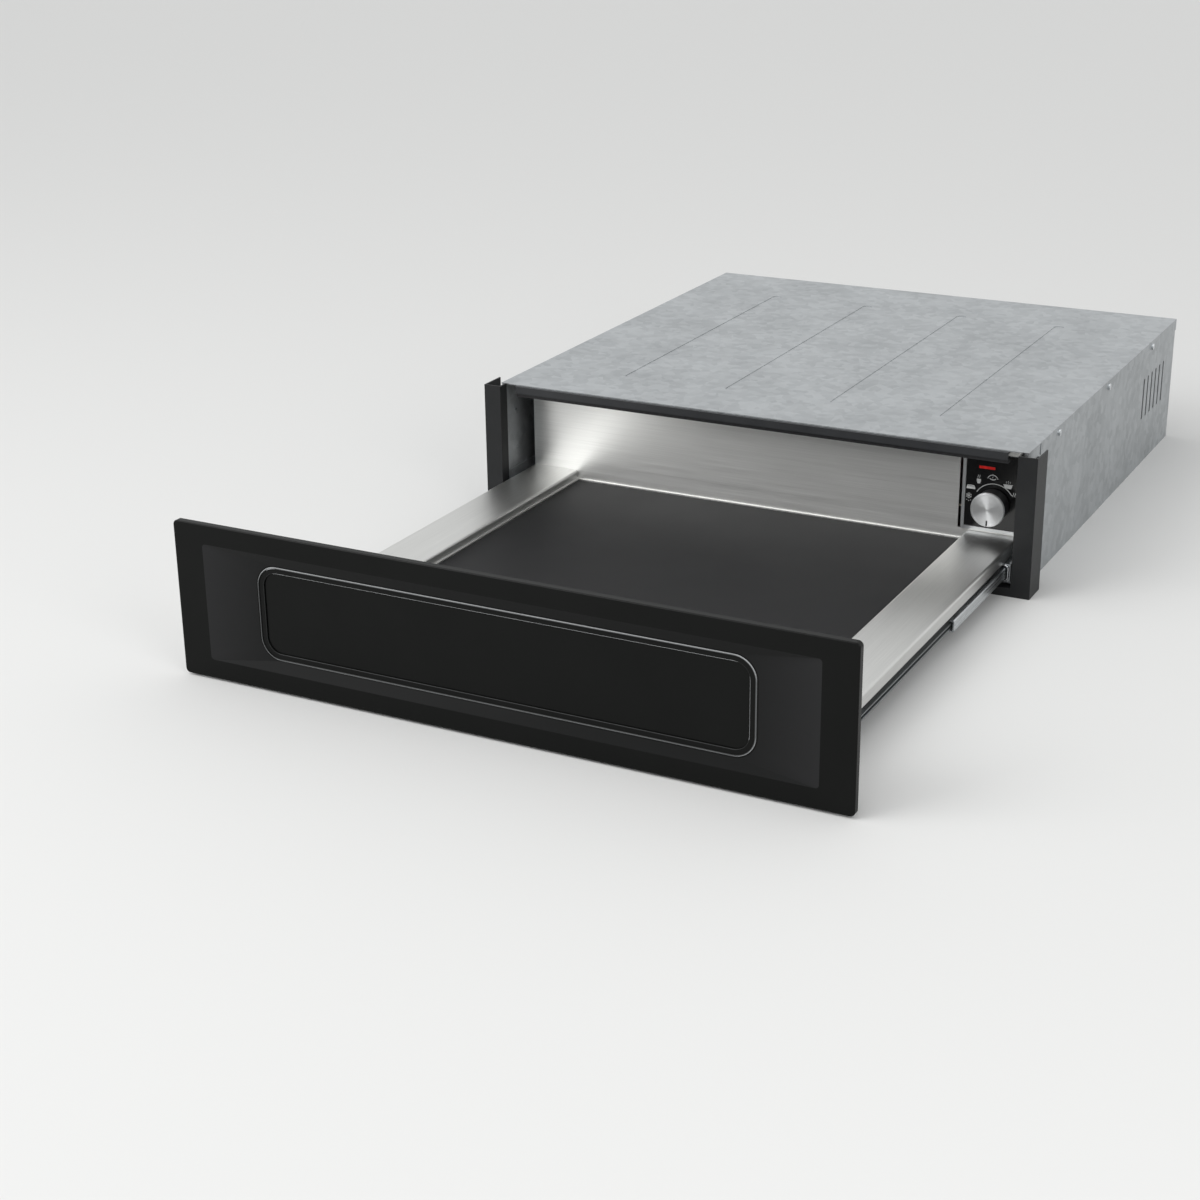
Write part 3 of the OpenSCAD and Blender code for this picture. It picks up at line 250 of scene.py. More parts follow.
def wire_loop(name, side):
    """The loop as a round wire; side is 1 on the right and -1 on the left."""
    shape = bmesh.new()
    sides = 12
    rings = []
    for k, (x, z) in enumerate(loop):
        before, after = loop[max(k - 1, 0)], loop[min(k + 1, len(loop) - 1)]
        way = Vector((after[0] - before[0], 0, after[1] - before[1])).normalized()
        out = Vector((-way.z, 0, way.x))
        ring = []
        for n in range(sides):
            turn = 2 * math.pi * n / sides
            off = out * math.cos(turn) * wire_r + Vector((0, 1, 0)) * math.sin(turn) * wire_r
            ring.append(shape.verts.new((side * (x + off.x), wire_y + off.y, z + off.z)))
        rings.append(ring)
    for one, two in zip(rings, rings[1:]):
        for n in range(sides):
            shape.faces.new([one[n], one[(n + 1) % sides], two[(n + 1) % sides], two[n]])
    shape.faces.new(rings[0])
    shape.faces.new(rings[-1])
    bmesh.ops.recalc_face_normals(shape, faces=shape.faces)
    piece = new_piece(name, shape, bearing_steel)
    piece.data.shade_smooth()
    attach(piece, "housing")


wire_loop("spring_clip_right", 1)
wire_loop("spring_clip_left", -1)

# ---------------------------------------------------------------- front panel
# One pressed steel panel on the drawer's carrier: inside a flat border four bevels sink
# to a rim with a rolled bead round the field. It is enamelled in satin black.

satin_black, tree, shader = surface("satin_black_enamel", Metallic=0.0, Specular_IOR_Level=0.03,
                                    Coat_Weight=0.22, Coat_Roughness=0.08)
place = add(tree, "ShaderNodeTexCoord").outputs["Object"]
# coat thickness over 55 mm and a grain of 0.7 mm, coarser than the real one
cloud = add(tree, "ShaderNodeTexNoise", {"Vector": place, "Scale": 18.0, "Detail": 3.0})
grain = add(tree, "ShaderNodeTexNoise", {"Vector": place, "Scale": 1400.0, "Detail": 2.0})
colour = add(tree, "ShaderNodeValToRGB", {0: cloud.outputs["Fac"]},
             ramp=[(0.3, linear("#080908")), (0.7, linear("#0b0c0b"))])
# Two outlines of the relief, as distance from the sides, from top and bottom, and corner
# radius: the border's inner edge and the rim of the field, taken 1 mm wider.
border_edge = (0.028, 0.0168, 0.003)
rim_edge = (0.0775, 0.0255, 0.020)
panel_low, panel_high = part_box("front_panel")
middle = [(low + high) / 2 for low, high in zip(panel_low, panel_high)]
from_middle = add(tree, "ShaderNodeVectorMath", {0: place, 1: middle}, operation="SUBTRACT")
ways = add(tree, "ShaderNodeVectorMath", {0: from_middle.outputs[0]}, operation="ABSOLUTE")
inside = []
for from_side, from_rail, round_r in (border_edge, rim_edge):
    straight = (panel_high[0] - middle[0] - from_side - round_r, 1.0,
                panel_high[2] - middle[2] - from_rail - round_r)
    past = add(tree, "ShaderNodeVectorMath", {0: ways.outputs[0], 1: straight}, operation="SUBTRACT")
    over = add(tree, "ShaderNodeVectorMath", {0: past.outputs[0], 1: (0, 0, 0)}, operation="MAXIMUM")
    away = add(tree, "ShaderNodeVectorMath", {0: over.outputs[0]}, operation="LENGTH")
    inside.append(add(tree, "ShaderNodeMath", {0: away.outputs["Value"], 1: round_r},
                      operation="LESS_THAN").outputs[0])
# The slopes are painted greyer than the enamel, a painted sheen for the light they catch, so that they stand
# out as in the photograph; most of all those at the two ends and far from the rim, the last value of away.
geometry = add(tree, "ShaderNodeNewGeometry")
tilt = add(tree, "ShaderNodeSeparateXYZ", {0: geometry.outputs["True Normal"]})
sideways = add(tree, "ShaderNodeMath", {0: tilt.outputs["X"]}, operation="ABSOLUTE")
end_slope = add(tree, "ShaderNodeMapRange", {0: sideways.outputs[0], 1: 0.0, 2: 0.06, 3: 0.4, 4: 1.0})
slopes = add(tree, "ShaderNodeMath", {0: inside[0], 1: inside[1]}, operation="SUBTRACT")
between = add(tree, "ShaderNodeMath", {0: slopes.outputs[0], 1: end_slope.outputs[0]}, operation="MULTIPLY")
outward = add(tree, "ShaderNodeMapRange", {0: away.outputs["Value"], 1: 0.02, 2: 0.07, 3: 0.45, 4: 1.0})
slope_sheen_mask = add(tree, "ShaderNodeMath", {0: between.outputs[0], 1: outward.outputs[0]}, operation="MULTIPLY")
# sockets 6 and 7 of a colour mix are its two colours
painted_slope_sheen = add(tree, "ShaderNodeMix", {0: slope_sheen_mask.outputs[0], 6: colour.outputs[0], 7: linear("#242425")},
             data_type="RGBA")
# The sharp edges of the rim and the bead are painted light as highlights, most of all along the top and
# bottom, for the fine bright lines that the photograph shows there.
upright = add(tree, "ShaderNodeMath", {0: tilt.outputs["Z"]}, operation="ABSOLUTE")
long_edge = add(tree, "ShaderNodeMapRange", {0: upright.outputs[0], 1: 0.0, 2: 0.3, 3: 0.5, 4: 1.0})
ridges = add(tree, "ShaderNodeMapRange", {0: geometry.outputs["Pointiness"], 1: 0.502, 2: 0.53})
sharp = add(tree, "ShaderNodeMath", {0: ridges.outputs[0], 1: inside[1]}, operation="MULTIPLY")
bright = add(tree, "ShaderNodeMath", {0: sharp.outputs[0], 1: long_edge.outputs[0]}, operation="MULTIPLY")
painted_edge_highlight = add(tree, "ShaderNodeMix", {0: bright.outputs[0], 6: painted_slope_sheen.outputs[2], 7: linear("#d2d4d6")},
            data_type="RGBA")
rough = add(tree, "ShaderNodeMapRange", {0: cloud.outputs["Fac"], 3: 0.34, 4: 0.42})
bump = add(tree, "ShaderNodeBump", {"Height": grain.outputs["Fac"], "Strength": 0.06, "Distance": 0.0003})
feed(tree, shader, Base_Color=painted_edge_highlight.outputs[2], Roughness=rough.outputs[0], Normal=bump.outputs[0])
finish_nodes(satin_black, "front_panel")

# ---------------------------------------------------------------- carrier behind the front
# A shallow tray of pre-coated grey sheet, which stiffens the front. It is glued into the
# panel's back, and four screws hold it and the drawer's liner.

grey_coat, tree, shader = surface("grey_coil_coating", Metallic=0.0, IOR=1.5)
place = add(tree, "ShaderNodeTexCoord").outputs["Object"]
# waves of the coating, 17 mm
cloud = add(tree, "ShaderNodeTexNoise", {"Vector": place, "Scale": 60.0, "Detail": 4.0})
colour = add(tree, "ShaderNodeValToRGB", {0: cloud.outputs["Fac"]},
             ramp=[(0.3, linear("#84878b")), (0.7, linear("#909397"))])
rough = add(tree, "ShaderNodeMapRange", {0: cloud.outputs["Fac"], 3: 0.38, 4: 0.5})
feed(tree, shader, Base_Color=colour.outputs[0], Roughness=rough.outputs[0])
finish_nodes(grey_coat, "front_carrier")

# ---------------------------------------------------------------- stainless drawer sheets
# The inner liner and rear wall are brushed across the drawer, the two side flanges
# along it. Ground stainless is bright, with soft streaks along the grinding.

brushed_across = drawn_steel("brushed_stainless_across", linear("#d0d0ce"), linear("#e2e2e0"), 0.34, 0.42, 0,
                             spread_way=(0, 0, 1))
finish_nodes(brushed_across, "rear_wall", "front_liner")
brushed_along = drawn_steel("brushed_stainless_along", linear("#c6c6c4"), linear("#d8d8d6"), 0.34, 0.42, 1,
                            spread_way=(1, 0, 1))
finish_nodes(brushed_along, "left_flange", "right_flange")

# ---------------------------------------------------------------- glass base
# Toughened glass, printed dark grey from below: a flat, slightly matt sheet on which
# the dishes stand. Its surface is etched, so it shows no sharp reflection.

grey_glass, tree, shader = surface("etched_dark_glass", Metallic=0.0, IOR=1.52, Specular_IOR_Level=0.12)
place = add(tree, "ShaderNodeTexCoord").outputs["Object"]
# etching of 0.6 mm, coarser than the real 0.1 mm, and wear over 110 mm
etch = add(tree, "ShaderNodeTexNoise", {"Vector": place, "Scale": 1600.0, "Detail": 2.0})
cloud = add(tree, "ShaderNodeTexNoise", {"Vector": place, "Scale": 9.0, "Detail": 3.0})
colour = add(tree, "ShaderNodeValToRGB", {0: etch.outputs["Fac"]},
             ramp=[(0.3, linear("#19191a")), (0.7, linear("#1f1f20"))])
rough = add(tree, "ShaderNodeMapRange", {0: cloud.outputs["Fac"], 3: 0.48, 4: 0.58})
bump = add(tree, "ShaderNodeBump", {"Height": etch.outputs["Fac"], "Strength": 0.05, "Distance": 0.0002})
feed(tree, shader, Base_Color=colour.outputs[0], Roughness=rough.outputs[0], Normal=bump.outputs[0])
finish_nodes(grey_glass, "glass_base")

# ---------------------------------------------------------------- heating under the glass
# A tubular element with a steel sheath that heat has browned lies in saddles of a
# bright reflector, over a board of pressed mineral wool.

sheath, tree, shader = surface("heat_tinted_sheath", Metallic=1.0)
place = add(tree, "ShaderNodeTexCoord").outputs["Object"]
# heat tint in patches of 40 mm
tint = add(tree, "ShaderNodeTexNoise", {"Vector": place, "Scale": 25.0, "Detail": 3.0})
colour = add(tree, "ShaderNodeValToRGB", {0: tint.outputs["Fac"]},
             ramp=[(0.3, linear("#4b4038")), (0.55, linear("#6b5f55")), (0.8, linear("#56565e"))])
rough = add(tree, "ShaderNodeMapRange", {0: tint.outputs["Fac"], 3: 0.4, 4: 0.6})
feed(tree, shader, Base_Color=colour.outputs[0], Roughness=rough.outputs[0])
finish_nodes(sheath, "heating_element")

bright_sheet = drawn_steel("bright_aluminium_sheet", linear("#cfd1d3"), linear("#e2e4e5"), 0.16, 0.28, 0)
finish_nodes(bright_sheet, "reflector")

wool, tree, shader = surface("mineral_wool_board", Roughness=0.95, Metallic=0.0)
place = add(tree, "ShaderNodeTexCoord").outputs["Object"]
# tufts of fibre of 2 to 3 mm
fibres = add(tree, "ShaderNodeTexNoise", {"Vector": place, "Scale": 420.0, "Detail": 6.0, "Distortion": 1.5})
colour = add(tree, "ShaderNodeValToRGB", {0: fibres.outputs["Fac"]},
             ramp=[(0.3, linear("#a8986a")), (0.7, linear("#d8cda4"))])
bump = add(tree, "ShaderNodeBump", {"Height": fibres.outputs["Fac"], "Strength": 0.7, "Distance": 0.001})
feed(tree, shader, Base_Color=colour.outputs[0], Normal=bump.outputs[0])
finish_nodes(wool, "insulation")

# ---------------------------------------------------------------- ceramic and moulded electrics
# Thermostat, cut-out and terminal block: steatite and urea moulding compound, off-white
# and slightly speckled.

moulding, tree, shader = surface("off_white_moulding", IOR=1.5, Metallic=0.0)
place = add(tree, "ShaderNodeTexCoord").outputs["Object"]
# specks of about 1 mm
speck = add(tree, "ShaderNodeTexNoise", {"Vector": place, "Scale": 800.0, "Detail": 2.0})
colour = add(tree, "ShaderNodeValToRGB", {0: speck.outputs["Fac"]},
             ramp=[(0.35, linear("#d3cdbc")), (0.6, linear("#e6e1d3"))])
rough = add(tree, "ShaderNodeMapRange", {0: speck.outputs["Fac"], 3: 0.4, 4: 0.6})
feed(tree, shader, Base_Color=colour.outputs[0], Roughness=rough.outputs[0])
finish_nodes(moulding, "thermostat", "safety_cutout", "terminal_block")

# ---------------------------------------------------------------- rear compartment and fan
# The cover, scroll and bearing plates are thin galvanised sheet. The cross-flow rotor is
# pressed aluminium, its motor a stack of varnished laminations with a copper coil.

finish_nodes(galvanised, "rear_cover", "fan_scroll", "bearing_plates")
rotor_sheet = drawn_steel("pressed_aluminium", linear("#a4a7aa"), linear("#babdbf"), 0.3, 0.45, 0)
finish_nodes(rotor_sheet, "fan_rotor")

laminations, tree, shader = surface("varnished_laminations", Metallic=0.6, Coat_Weight=0.4,
                                    Coat_Roughness=0.3)
place = add(tree, "ShaderNodeTexCoord").outputs["Object"]
# sheets of 0.5 mm, drawn 1 mm apart so that they show
stack = add(tree, "ShaderNodeTexWave", {"Vector": place, "Scale": 314.0, "Distortion": 0.3},
            bands_direction="X")
colour = add(tree, "ShaderNodeValToRGB", {0: stack.outputs["Fac"]},
             ramp=[(0.3, linear("#3a3532")), (0.7, linear("#5c5550"))])
bump = add(tree, "ShaderNodeBump", {"Height": stack.outputs["Fac"], "Strength": 0.5, "Distance": 0.0003})
rough = add(tree, "ShaderNodeMapRange", {0: stack.outputs["Fac"], 3: 0.45, 4: 0.6})
feed(tree, shader, Base_Color=colour.outputs[0], Roughness=rough.outputs[0], Normal=bump.outputs[0])
finish_nodes(laminations, "motor_stator")

copper, tree, shader = surface("enamelled_copper_winding", Metallic=1.0)
place = add(tree, "ShaderNodeTexCoord").outputs["Object"]
# turns of wire 0.75 mm apart
turns = add(tree, "ShaderNodeTexWave", {"Vector": place, "Scale": 420.0, "Distortion": 0.6},
            bands_direction="Z")
colour = add(tree, "ShaderNodeValToRGB", {0: turns.outputs["Fac"]},
             ramp=[(0.2, linear("#6b2f16")), (0.8, linear("#b9683a"))])
bump = add(tree, "ShaderNodeBump", {"Height": turns.outputs["Fac"], "Strength": 0.8, "Distance": 0.0004})
rough = add(tree, "ShaderNodeMapRange", {0: turns.outputs["Fac"], 3: 0.3, 4: 0.45})
feed(tree, shader, Base_Color=colour.outputs[0], Roughness=rough.outputs[0], Normal=bump.outputs[0])
finish_nodes(copper, "motor_coil")

# ---------------------------------------------------------------- control fascia
# A strip of black glass-smooth plastic set flush in the rear wall, framed on two sides
# by an anodised aluminium trim. The settings are screen-printed in pale grey.

piano_black, tree, shader = surface("glossy_black_abs", Metallic=0.0, IOR=1.54)
place = add(tree, "ShaderNodeTexCoord").outputs["Object"]
# flow of the moulding over 25 mm
cloud = add(tree, "ShaderNodeTexNoise", {"Vector": place, "Scale": 40.0, "Detail": 2.0})
colour = add(tree, "ShaderNodeValToRGB", {0: cloud.outputs["Fac"]},
             ramp=[(0.3, linear("#0c0c0d")), (0.7, linear("#111112"))])
rough = add(tree, "ShaderNodeMapRange", {0: cloud.outputs["Fac"], 3: 0.14, 4: 0.22})
feed(tree, shader, Base_Color=colour.outputs[0], Roughness=rough.outputs[0])
finish_nodes(piano_black, "control_fascia")

anodised, tree, shader = surface("satin_anodised_aluminium", Metallic=1.0)
place = add(tree, "ShaderNodeTexCoord").outputs["Object"]
# matt etching of 0.7 mm, coarser than the real one
matt = add(tree, "ShaderNodeTexNoise", {"Vector": place, "Scale": 1500.0, "Detail": 2.0})
colour = add(tree, "ShaderNodeValToRGB", {0: matt.outputs["Fac"]},
             ramp=[(0.3, linear("#c3c5c7")), (0.7, linear("#d8dadb"))])
rough = add(tree, "ShaderNodeMapRange", {0: matt.outputs["Fac"], 3: 0.32, 4: 0.46})
feed(tree, shader, Base_Color=colour.outputs[0], Roughness=rough.outputs[0])
finish_nodes(anodised, "fascia_trim", "thermostat_shaft")

ink, tree, shader = surface("pale_screen_print", Metallic=0.0, IOR=1.5)
place = add(tree, "ShaderNodeTexCoord").outputs["Object"]
# traces of the printing mesh, 0.4 mm apart
mesh_mark = add(tree, "ShaderNodeTexNoise", {"Vector": place, "Scale": 2500.0, "Detail": 1.0})
colour = add(tree, "ShaderNodeValToRGB", {0: mesh_mark.outputs["Fac"]},
             ramp=[(0.3, linear("#b9bab9")), (0.6, linear("#d4d5d4"))])
rough = add(tree, "ShaderNodeMapRange", {0: mesh_mark.outputs["Fac"], 3: 0.5, 4: 0.65})
feed(tree, shader, Base_Color=colour.outputs[0], Roughness=rough.outputs[0])

print_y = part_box("control_fascia")[0][1]
print_t = 0.00008
knob_low, knob_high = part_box("knob_cap")
knob_x = (knob_low[0] + knob_high[0]) / 2
knob_z = (knob_low[2] + knob_high[2]) / 2


def stroke(points, width, shape):
    """Adds a printed line, in mm right of and above the knob's axis, to a bmesh."""
    points = [Vector(p) for p in points]
    left, right = [], []
    for k, point in enumerate(points):
        before, after = points[max(k - 1, 0)], points[min(k + 1, len(points) - 1)]
        way = (after - before).normalized()
        side = Vector((-way.y, way.x)) * width / 2
        left.append(point + side)
        right.append(point - side)
    outline = left + right[::-1]
    front = [shape.verts.new((knob_x + p.x / 1000, print_y - print_t, knob_z + p.y / 1000)) for p in outline]
    back = [shape.verts.new((knob_x + p.x / 1000, print_y, knob_z + p.y / 1000)) for p in outline]
    count, half = len(outline), len(points)
    for k in range(half - 1):
        a, b, c, d = k, k + 1, count - 2 - k, count - 1 - k
        shape.faces.new([front[a], front[b], front[c], front[d]])
        shape.faces.new([back[d], back[c], back[b], back[a]])
    for k in range(count):
        n = (k + 1) % count
        shape.faces.new([front[n], front[k], back[k], back[n]])


def ahead_of(point, length, turn, squash=1.0):
    """The point a length away in mm, in degrees from three o'clock, anticlockwise."""
    return (point[0] + length * math.cos(math.radians(turn)),
            point[1] + squash * length * math.sin(math.radians(turn)))


def arc(centre, radius, start, end, steps, squash=1.0):
    """Points of an arc in mm between two directions in degrees."""
    return [ahead_of(centre, radius, start + (end - start) * k / steps, squash) for k in range(steps + 1)]


def printed(name, lines):
    """A printed sign on the fascia: lines are pairs of points and width in mm."""
    shape = bmesh.new()
    for points, width in lines:
        stroke(points, width, shape)
    bmesh.ops.recalc_face_normals(shape, faces=shape.faces)
    piece = new_piece(name, shape, ink)
    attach(piece, "drawer")


printed("print_scale", [(arc((0, 0), 19.3, 150, 32, 48), 0.7)])
# defrosting: a star of six arms with drops below
snow = (-24.0, 5.0)
star = []
for k in range(3):
    turn = 30 + 60 * k
    star.append(([ahead_of(snow, -2.7, turn), ahead_of(snow, 2.7, turn)], 0.42))
for k in range(6):
    turn = 30 + 60 * k
    tip = ahead_of(snow, 1.7, turn)
    for lean in (-45, 45):
        star.append(([tip, ahead_of(tip, 1.1, turn + lean)], 0.34))
for x, y in ((-2.0, -4.2), (0.0, -5.0), (2.0, -4.2)):
    star.append(([(snow[0] + x, snow[1] + y + 0.35), (snow[0] + x, snow[1] + y - 0.35)], 0.7))
printed("print_defrost", star)
# proving dough: a crowned loaf over a flat base
loaf = (-22.5, 13.5)
printed("print_dough", [
    ([(loaf[0] - 4.2, loaf[1] - 1.2), (loaf[0] + 4.2, loaf[1] - 1.2)], 1.1),
    ([(loaf[0] - 4.0, loaf[1]), (loaf[0] + 4.0, loaf[1])], 1.3),
    (arc((loaf[0] - 2.2, loaf[1] + 0.4), 1.2, 20, 160, 8), 0.8),
    (arc((loaf[0], loaf[1] + 0.5), 1.3, 20, 160, 8), 0.8),
    (arc((loaf[0] + 2.2, loaf[1] + 0.4), 1.2, 20, 160, 8), 0.8)])
# cups: a beaker with two curls of steam
cup = (-15.3, 20.5)
printed("print_cup", [
    ([(cup[0] - 2.0, cup[1] + 1.0), (cup[0] + 2.0, cup[1] + 1.0)], 1.5),
    ([(cup[0] - 1.9, cup[1] - 0.4), (cup[0] + 1.9, cup[1] - 0.4)], 1.5),
    ([(cup[0] - 1.4, cup[1] - 1.8), (cup[0] + 1.4, cup[1] - 1.8)], 1.5),
    ([(cup[0] - 0.8, cup[1] + 2.6), (cup[0] - 1.2, cup[1] + 3.6), (cup[0] - 0.6, cup[1] + 4.6),
      (cup[0] - 0.9, cup[1] + 5.6)], 0.4),
    ([(cup[0] + 0.8, cup[1] + 2.6), (cup[0] + 0.4, cup[1] + 3.6), (cup[0] + 1.0, cup[1] + 4.6),
      (cup[0] + 0.7, cup[1] + 5.6)], 0.4)])
# plates: a dome over a dish
dome = (-2.2, 23.0)
printed("print_dome", [
    (arc(dome, 4.8, 18, 162, 16, 0.95), 0.7),
    ([(dome[0] - 0.5, dome[1] + 4.9), (dome[0] + 0.5, dome[1] + 4.9)], 0.9),
    ([(dome[0] - 5.2, dome[1] + 1.3), (dome[0] - 4.2, dome[1] + 1.3)], 0.6),
    ([(dome[0] + 4.2, dome[1] + 1.3), (dome[0] + 5.2, dome[1] + 1.3)], 0.6),
    (arc((dome[0], dome[1] + 3.6), 3.9, 222, 318, 10, 0.9), 0.8),
    ([(dome[0], dome[1] + 1.4), (dome[0] - 0.3, dome[1] + 2.2), (dome[0] + 0.2, dome[1] + 3.0)], 0.4)])
# warm dishes: a pot with its rim and steam
pot = (12.4, 19.0)
printed("print_pot", [
    ([(pot[0] - 4.4, pot[1] + 1.1), (pot[0] + 4.4, pot[1] + 1.1)], 0.8),
    ([(pot[0] - 3.8, pot[1] - 0.3), (pot[0] + 3.8, pot[1] - 0.3)], 1.8),
    ([(pot[0] - 3.2, pot[1] - 1.8), (pot[0] + 3.2, pot[1] - 1.8)], 1.2),
    ([(pot[0] - 1.6, pot[1] + 2.6), (pot[0] - 2.0, pot[1] + 3.6), (pot[0] - 1.4, pot[1] + 4.6)], 0.4),
    ([(pot[0] + 0.2, pot[1] + 2.6), (pot[0] - 0.2, pot[1] + 3.9), (pot[0] + 0.4, pot[1] + 5.2)], 0.4),
    ([(pot[0] + 2.0, pot[1] + 2.6), (pot[0] + 1.6, pot[1] + 3.6), (pot[0] + 2.2, pot[1] + 4.6)], 0.4)])
# highest heat: three short wavy lines
heat = (19.6, 11.4)
printed("print_heat", [([(heat[0] + x, heat[1] - 2.0), (heat[0] + x - 0.6, heat[1] - 0.7),
                         (heat[0] + x + 0.4, heat[1] + 0.7), (heat[0] + x, heat[1] + 2.0)], 0.55)
                       for x in (-1.8, 0.0, 1.8)])

# ---------------------------------------------------------------- pilot lamp
# A clear red polycarbonate lens over a small lamp, snapped into the fascia above the
# signs. It glows faintly while the drawer heats.

red_lens, tree, shader = surface("red_polycarbonate", IOR=1.58, Metallic=0.0, Coat_Weight=0.3,
                                 Emission_Strength=0.35, Emission_Color=linear("#c01a14"))
place = add(tree, "ShaderNodeTexCoord").outputs["Object"]
# flow of the moulding over 4 mm
glow = add(tree, "ShaderNodeTexNoise", {"Vector": place, "Scale": 260.0, "Detail": 1.0})
colour = add(tree, "ShaderNodeValToRGB", {0: glow.outputs["Fac"]},
             ramp=[(0.3, linear("#8f1512")), (0.7, linear("#c42420"))])
rough = add(tree, "ShaderNodeMapRange", {0: glow.outputs["Fac"], 3: 0.12, 4: 0.22})
feed(tree, shader, Base_Color=colour.outputs[0], Roughness=rough.outputs[0])
finish_nodes(red_lens, "pilot_lens")

# ---------------------------------------------------------------- knob
# A tapered barrel of black fine-grain plastic carries a spun aluminium cap. Facing on
# the lathe leaves rings round the axis, which spread each light into a fan.

fine_black, tree, shader = surface("fine_grain_black_plastic", Metallic=0.0, IOR=1.5)
place = add(tree, "ShaderNodeTexCoord").outputs["Object"]
# spark grain of 0.5 mm
grain = add(tree, "ShaderNodeTexNoise", {"Vector": place, "Scale": 1800.0, "Detail": 3.0})
colour = add(tree, "ShaderNodeValToRGB", {0: grain.outputs["Fac"]},
             ramp=[(0.3, linear("#1a1a1c")), (0.7, linear("#232325"))])
rough = add(tree, "ShaderNodeMapRange", {0: grain.outputs["Fac"], 3: 0.40, 4: 0.55})
bump = add(tree, "ShaderNodeBump", {"Height": grain.outputs["Fac"], "Strength": 0.2, "Distance": 0.0002})
feed(tree, shader, Base_Color=colour.outputs[0], Roughness=rough.outputs[0], Normal=bump.outputs[0])
finish_nodes(fine_black, "knob_barrel", "latch_body", "latch_striker", "cord_gland")

spun, tree, shader = surface("spun_aluminium", Metallic=1.0, Anisotropic=0.95, Anisotropic_Rotation=0.25)
place = add(tree, "ShaderNodeTexCoord").outputs["Object"]
centred = add(tree, "ShaderNodeMapping", {"Vector": place, "Location": (-knob_x, 0.0, -knob_z)})
flat = add(tree, "ShaderNodeVectorMath", {0: centred.outputs[0], 1: (1.0, 0.0, 1.0)}, operation="MULTIPLY")
radius = add(tree, "ShaderNodeVectorMath", {0: flat.outputs[0]}, operation="LENGTH")
# turning lines 0.3 mm apart
rings = add(tree, "ShaderNodeMath", {0: radius.outputs["Value"], 1: 21000.0}, operation="MULTIPLY")
wave = add(tree, "ShaderNodeMath", {0: rings.outputs[0]}, operation="SINE")
colour = add(tree, "ShaderNodeValToRGB", {0: wave.outputs[0]},
             ramp=[(0.0, linear("#c0c1c2")), (1.0, linear("#dadbdc"))])
bump = add(tree, "ShaderNodeBump", {"Height": wave.outputs[0], "Strength": 0.05, "Distance": 0.0001})
turned = add(tree, "ShaderNodeTangent", direction_type="RADIAL", axis="Y")
rough = add(tree, "ShaderNodeMapRange", {0: wave.outputs[0], 3: 0.44, 4: 0.52})
feed(tree, shader, Base_Color=colour.outputs[0], Roughness=rough.outputs[0], Normal=bump.outputs[0],
     Tangent=turned.outputs[0])
finish_nodes(spun, "knob_cap")

# the pointer notch at the rim is filled with a dark piece, painted shade for the hollow of the notch
notch = bmesh.new()
bmesh.ops.create_cube(notch, size=1.0)
bmesh.ops.bevel(notch, geom=notch.edges[:], offset=0.08, segments=2, affect="EDGES")
shade_fill_size = Vector((0.0015, 0.0006, 0.0048))
shade_fill_place = Vector((knob_x, knob_low[1] + 0.0008, knob_low[2] + 0.0035))
bmesh.ops.transform(notch, verts=notch.verts,
                    matrix=Matrix.LocRotScale(shade_fill_place, None, shade_fill_size))
pointer = new_piece("pointer_painted_shade", notch, fine_black)
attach(pointer, "knob")

# ---------------------------------------------------------------- push latch
# A sprung plunger in the latch body on the housing's back meets the drawer's striker.
# It is moulded in light grey acetal, which looks slightly waxy.

acetal, tree, shader = surface("grey_acetal", Metallic=0.0, IOR=1.48, Subsurface_Weight=0.1,
                               Subsurface_Scale=0.001)
place = add(tree, "ShaderNodeTexCoord").outputs["Object"]
# flow of the moulding over 3 mm
cloud = add(tree, "ShaderNodeTexNoise", {"Vector": place, "Scale": 300.0, "Detail": 2.0})
colour = add(tree, "ShaderNodeValToRGB", {0: cloud.outputs["Fac"]},
             ramp=[(0.3, linear("#b5b6b8")), (0.7, linear("#c3c4c6"))])
rough = add(tree, "ShaderNodeMapRange", {0: cloud.outputs["Fac"], 3: 0.34, 4: 0.46})
feed(tree, shader, Base_Color=colour.outputs[0], Roughness=rough.outputs[0])
finish_nodes(acetal, "latch_plunger")

# ---------------------------------------------------------------- screws
# Pan-head sheet-metal screws with bright zinc plating hold the lid, the back and the
# front's carrier.

finish_nodes(bright_zinc, "front_screws", "housing_screws")

# ---------------------------------------------------------------- floor, light and camera
# A pale studio floor and three broad soft lamps; the camera stands where the
# photographer's did, right of the drawer and above it.

floor_mesh = bpy.data.meshes.new("studio_floor")
reach = 12.0
floor_mesh.from_pydata([(-reach, -reach, 0), (reach, -reach, 0), (reach, reach, 0), (-reach, reach, 0)], [],
                       [(0, 1, 2, 3)])
floor = bpy.data.objects.new("studio_floor", floor_mesh)
bpy.context.scene.collection.objects.link(floor)
pale, tree, shader = surface("pale_floor", Roughness=0.9, Metallic=0.0, Base_Color=linear("#e2e2e1"))
floor_mesh.materials.append(pale)

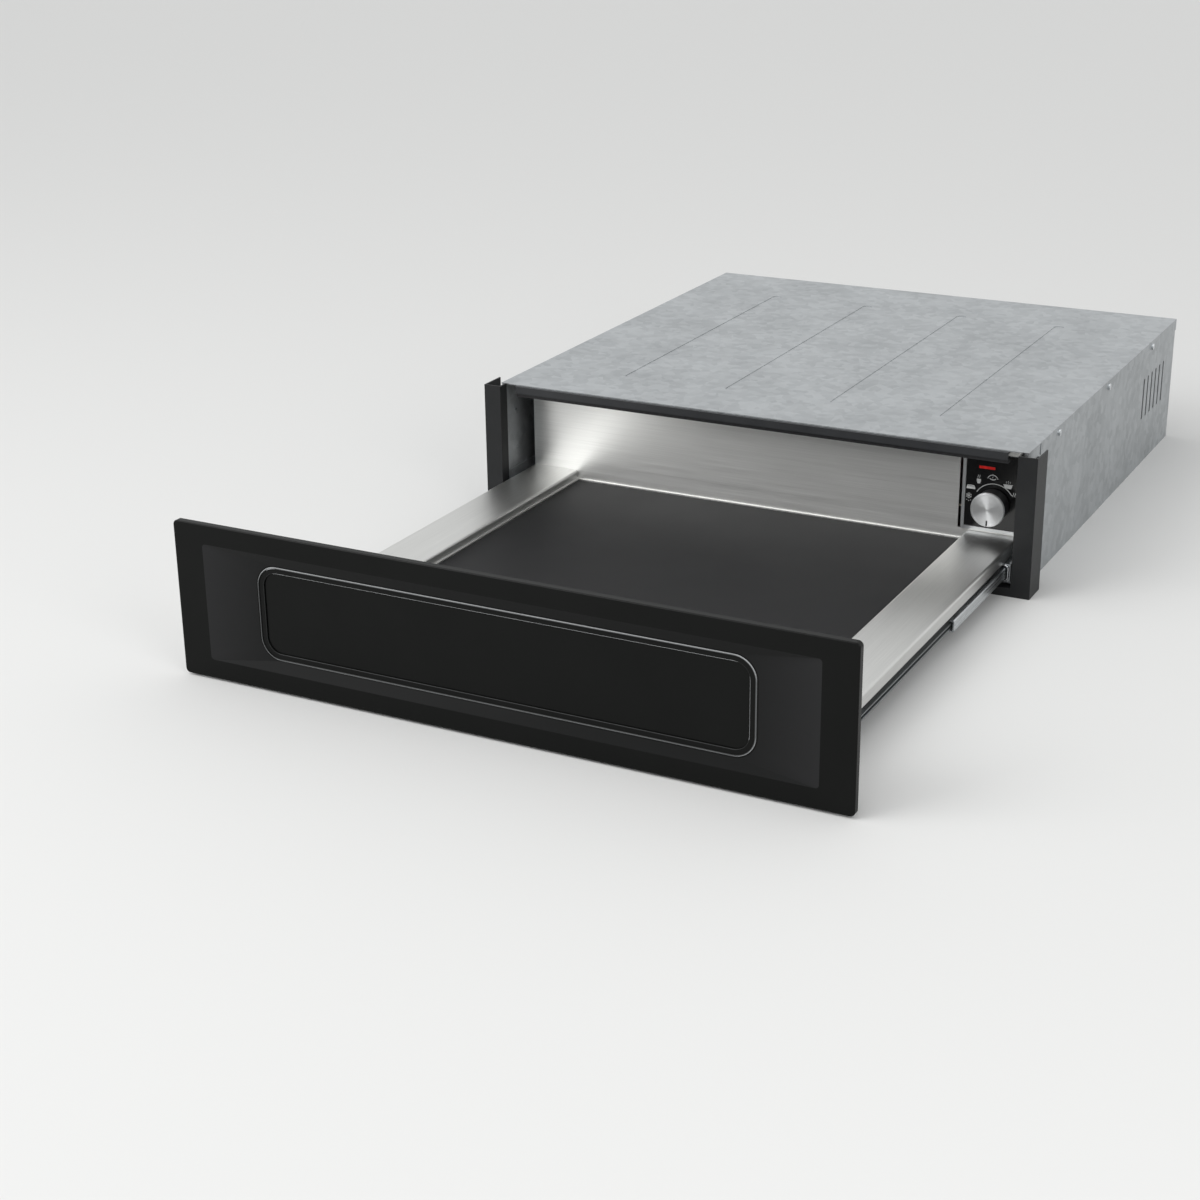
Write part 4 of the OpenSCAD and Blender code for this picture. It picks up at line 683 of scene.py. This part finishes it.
world = bpy.data.worlds.new("studio")
bpy.context.scene.world = world
world.use_nodes = True
tree = world.node_tree
tree.nodes.clear()
seen = add(tree, "ShaderNodeLightPath")
direct = add(tree, "ShaderNodeMath", {0: seen.outputs["Is Camera Ray"], 1: seen.outputs["Is Glossy Ray"]},
             operation="MAXIMUM")
either = add(tree, "ShaderNodeMath", {0: direct.outputs[0], 1: seen.outputs["Is Transmission Ray"]},
             operation="MAXIMUM")
strength = add(tree, "ShaderNodeMapRange", {0: either.outputs[0], 3: 0.62, 4: 1.0})
sky = add(tree, "ShaderNodeBackground", {"Color": linear("#f6f7f7"), "Strength": strength.outputs[0]})
add(tree, "ShaderNodeOutputWorld", {"Surface": sky.outputs[0]})


def lamp(name, kind, place, target, energy):
    """A lamp that faces a point."""
    light = bpy.data.lights.new(name, kind)
    light.energy = energy
    thing = bpy.data.objects.new(name, light)
    bpy.context.scene.collection.objects.link(thing)
    thing.location = place
    thing.rotation_euler = (Vector(target) - Vector(place)).to_track_quat("-Z", "Y").to_euler()
    return light


# a sun's strength is in watts a square metre, a panel's in watts
sun = lamp("soft_sun", "SUN", (-1.3, -1.2, 1.9), (0, 0, 0), 1.1)
sun.angle = math.radians(80)
key = lamp("key_lamp", "AREA", (-1.3, -2.1, 1.7), (0, -0.4, 0.1), 20)
key.size = 1.5
side = lamp("side_lamp", "AREA", (1.75, -1.75, 1.2), (0.1, -0.4, 0), 10)
side.size = 1.0

camera_data = bpy.data.cameras.new("camera")
camera_data.sensor_width = 36.0
camera_data.lens = 64.0
camera = bpy.data.objects.new("camera", camera_data)
bpy.context.scene.collection.objects.link(camera)
bpy.context.scene.camera = camera
eye = (0.7785, -2.0317, 0.7084)
yaw, pitch, roll = math.radians(27.99), math.radians(21.50), math.radians(-0.74)
right = Vector((math.cos(yaw), math.sin(yaw), 0))
ahead = Vector((-math.sin(yaw) * math.cos(pitch), math.cos(yaw) * math.cos(pitch), -math.sin(pitch)))
above = right.cross(ahead)
across = right * math.cos(roll) + above * math.sin(roll)
above = above * math.cos(roll) - right * math.sin(roll)
turned_camera = Matrix((across, above, -ahead)).transposed().to_4x4()
camera.matrix_world = Matrix.Translation(eye) @ turned_camera
camera_data.clip_start = 0.05

bpy.context.scene.view_settings.view_transform = "Standard"
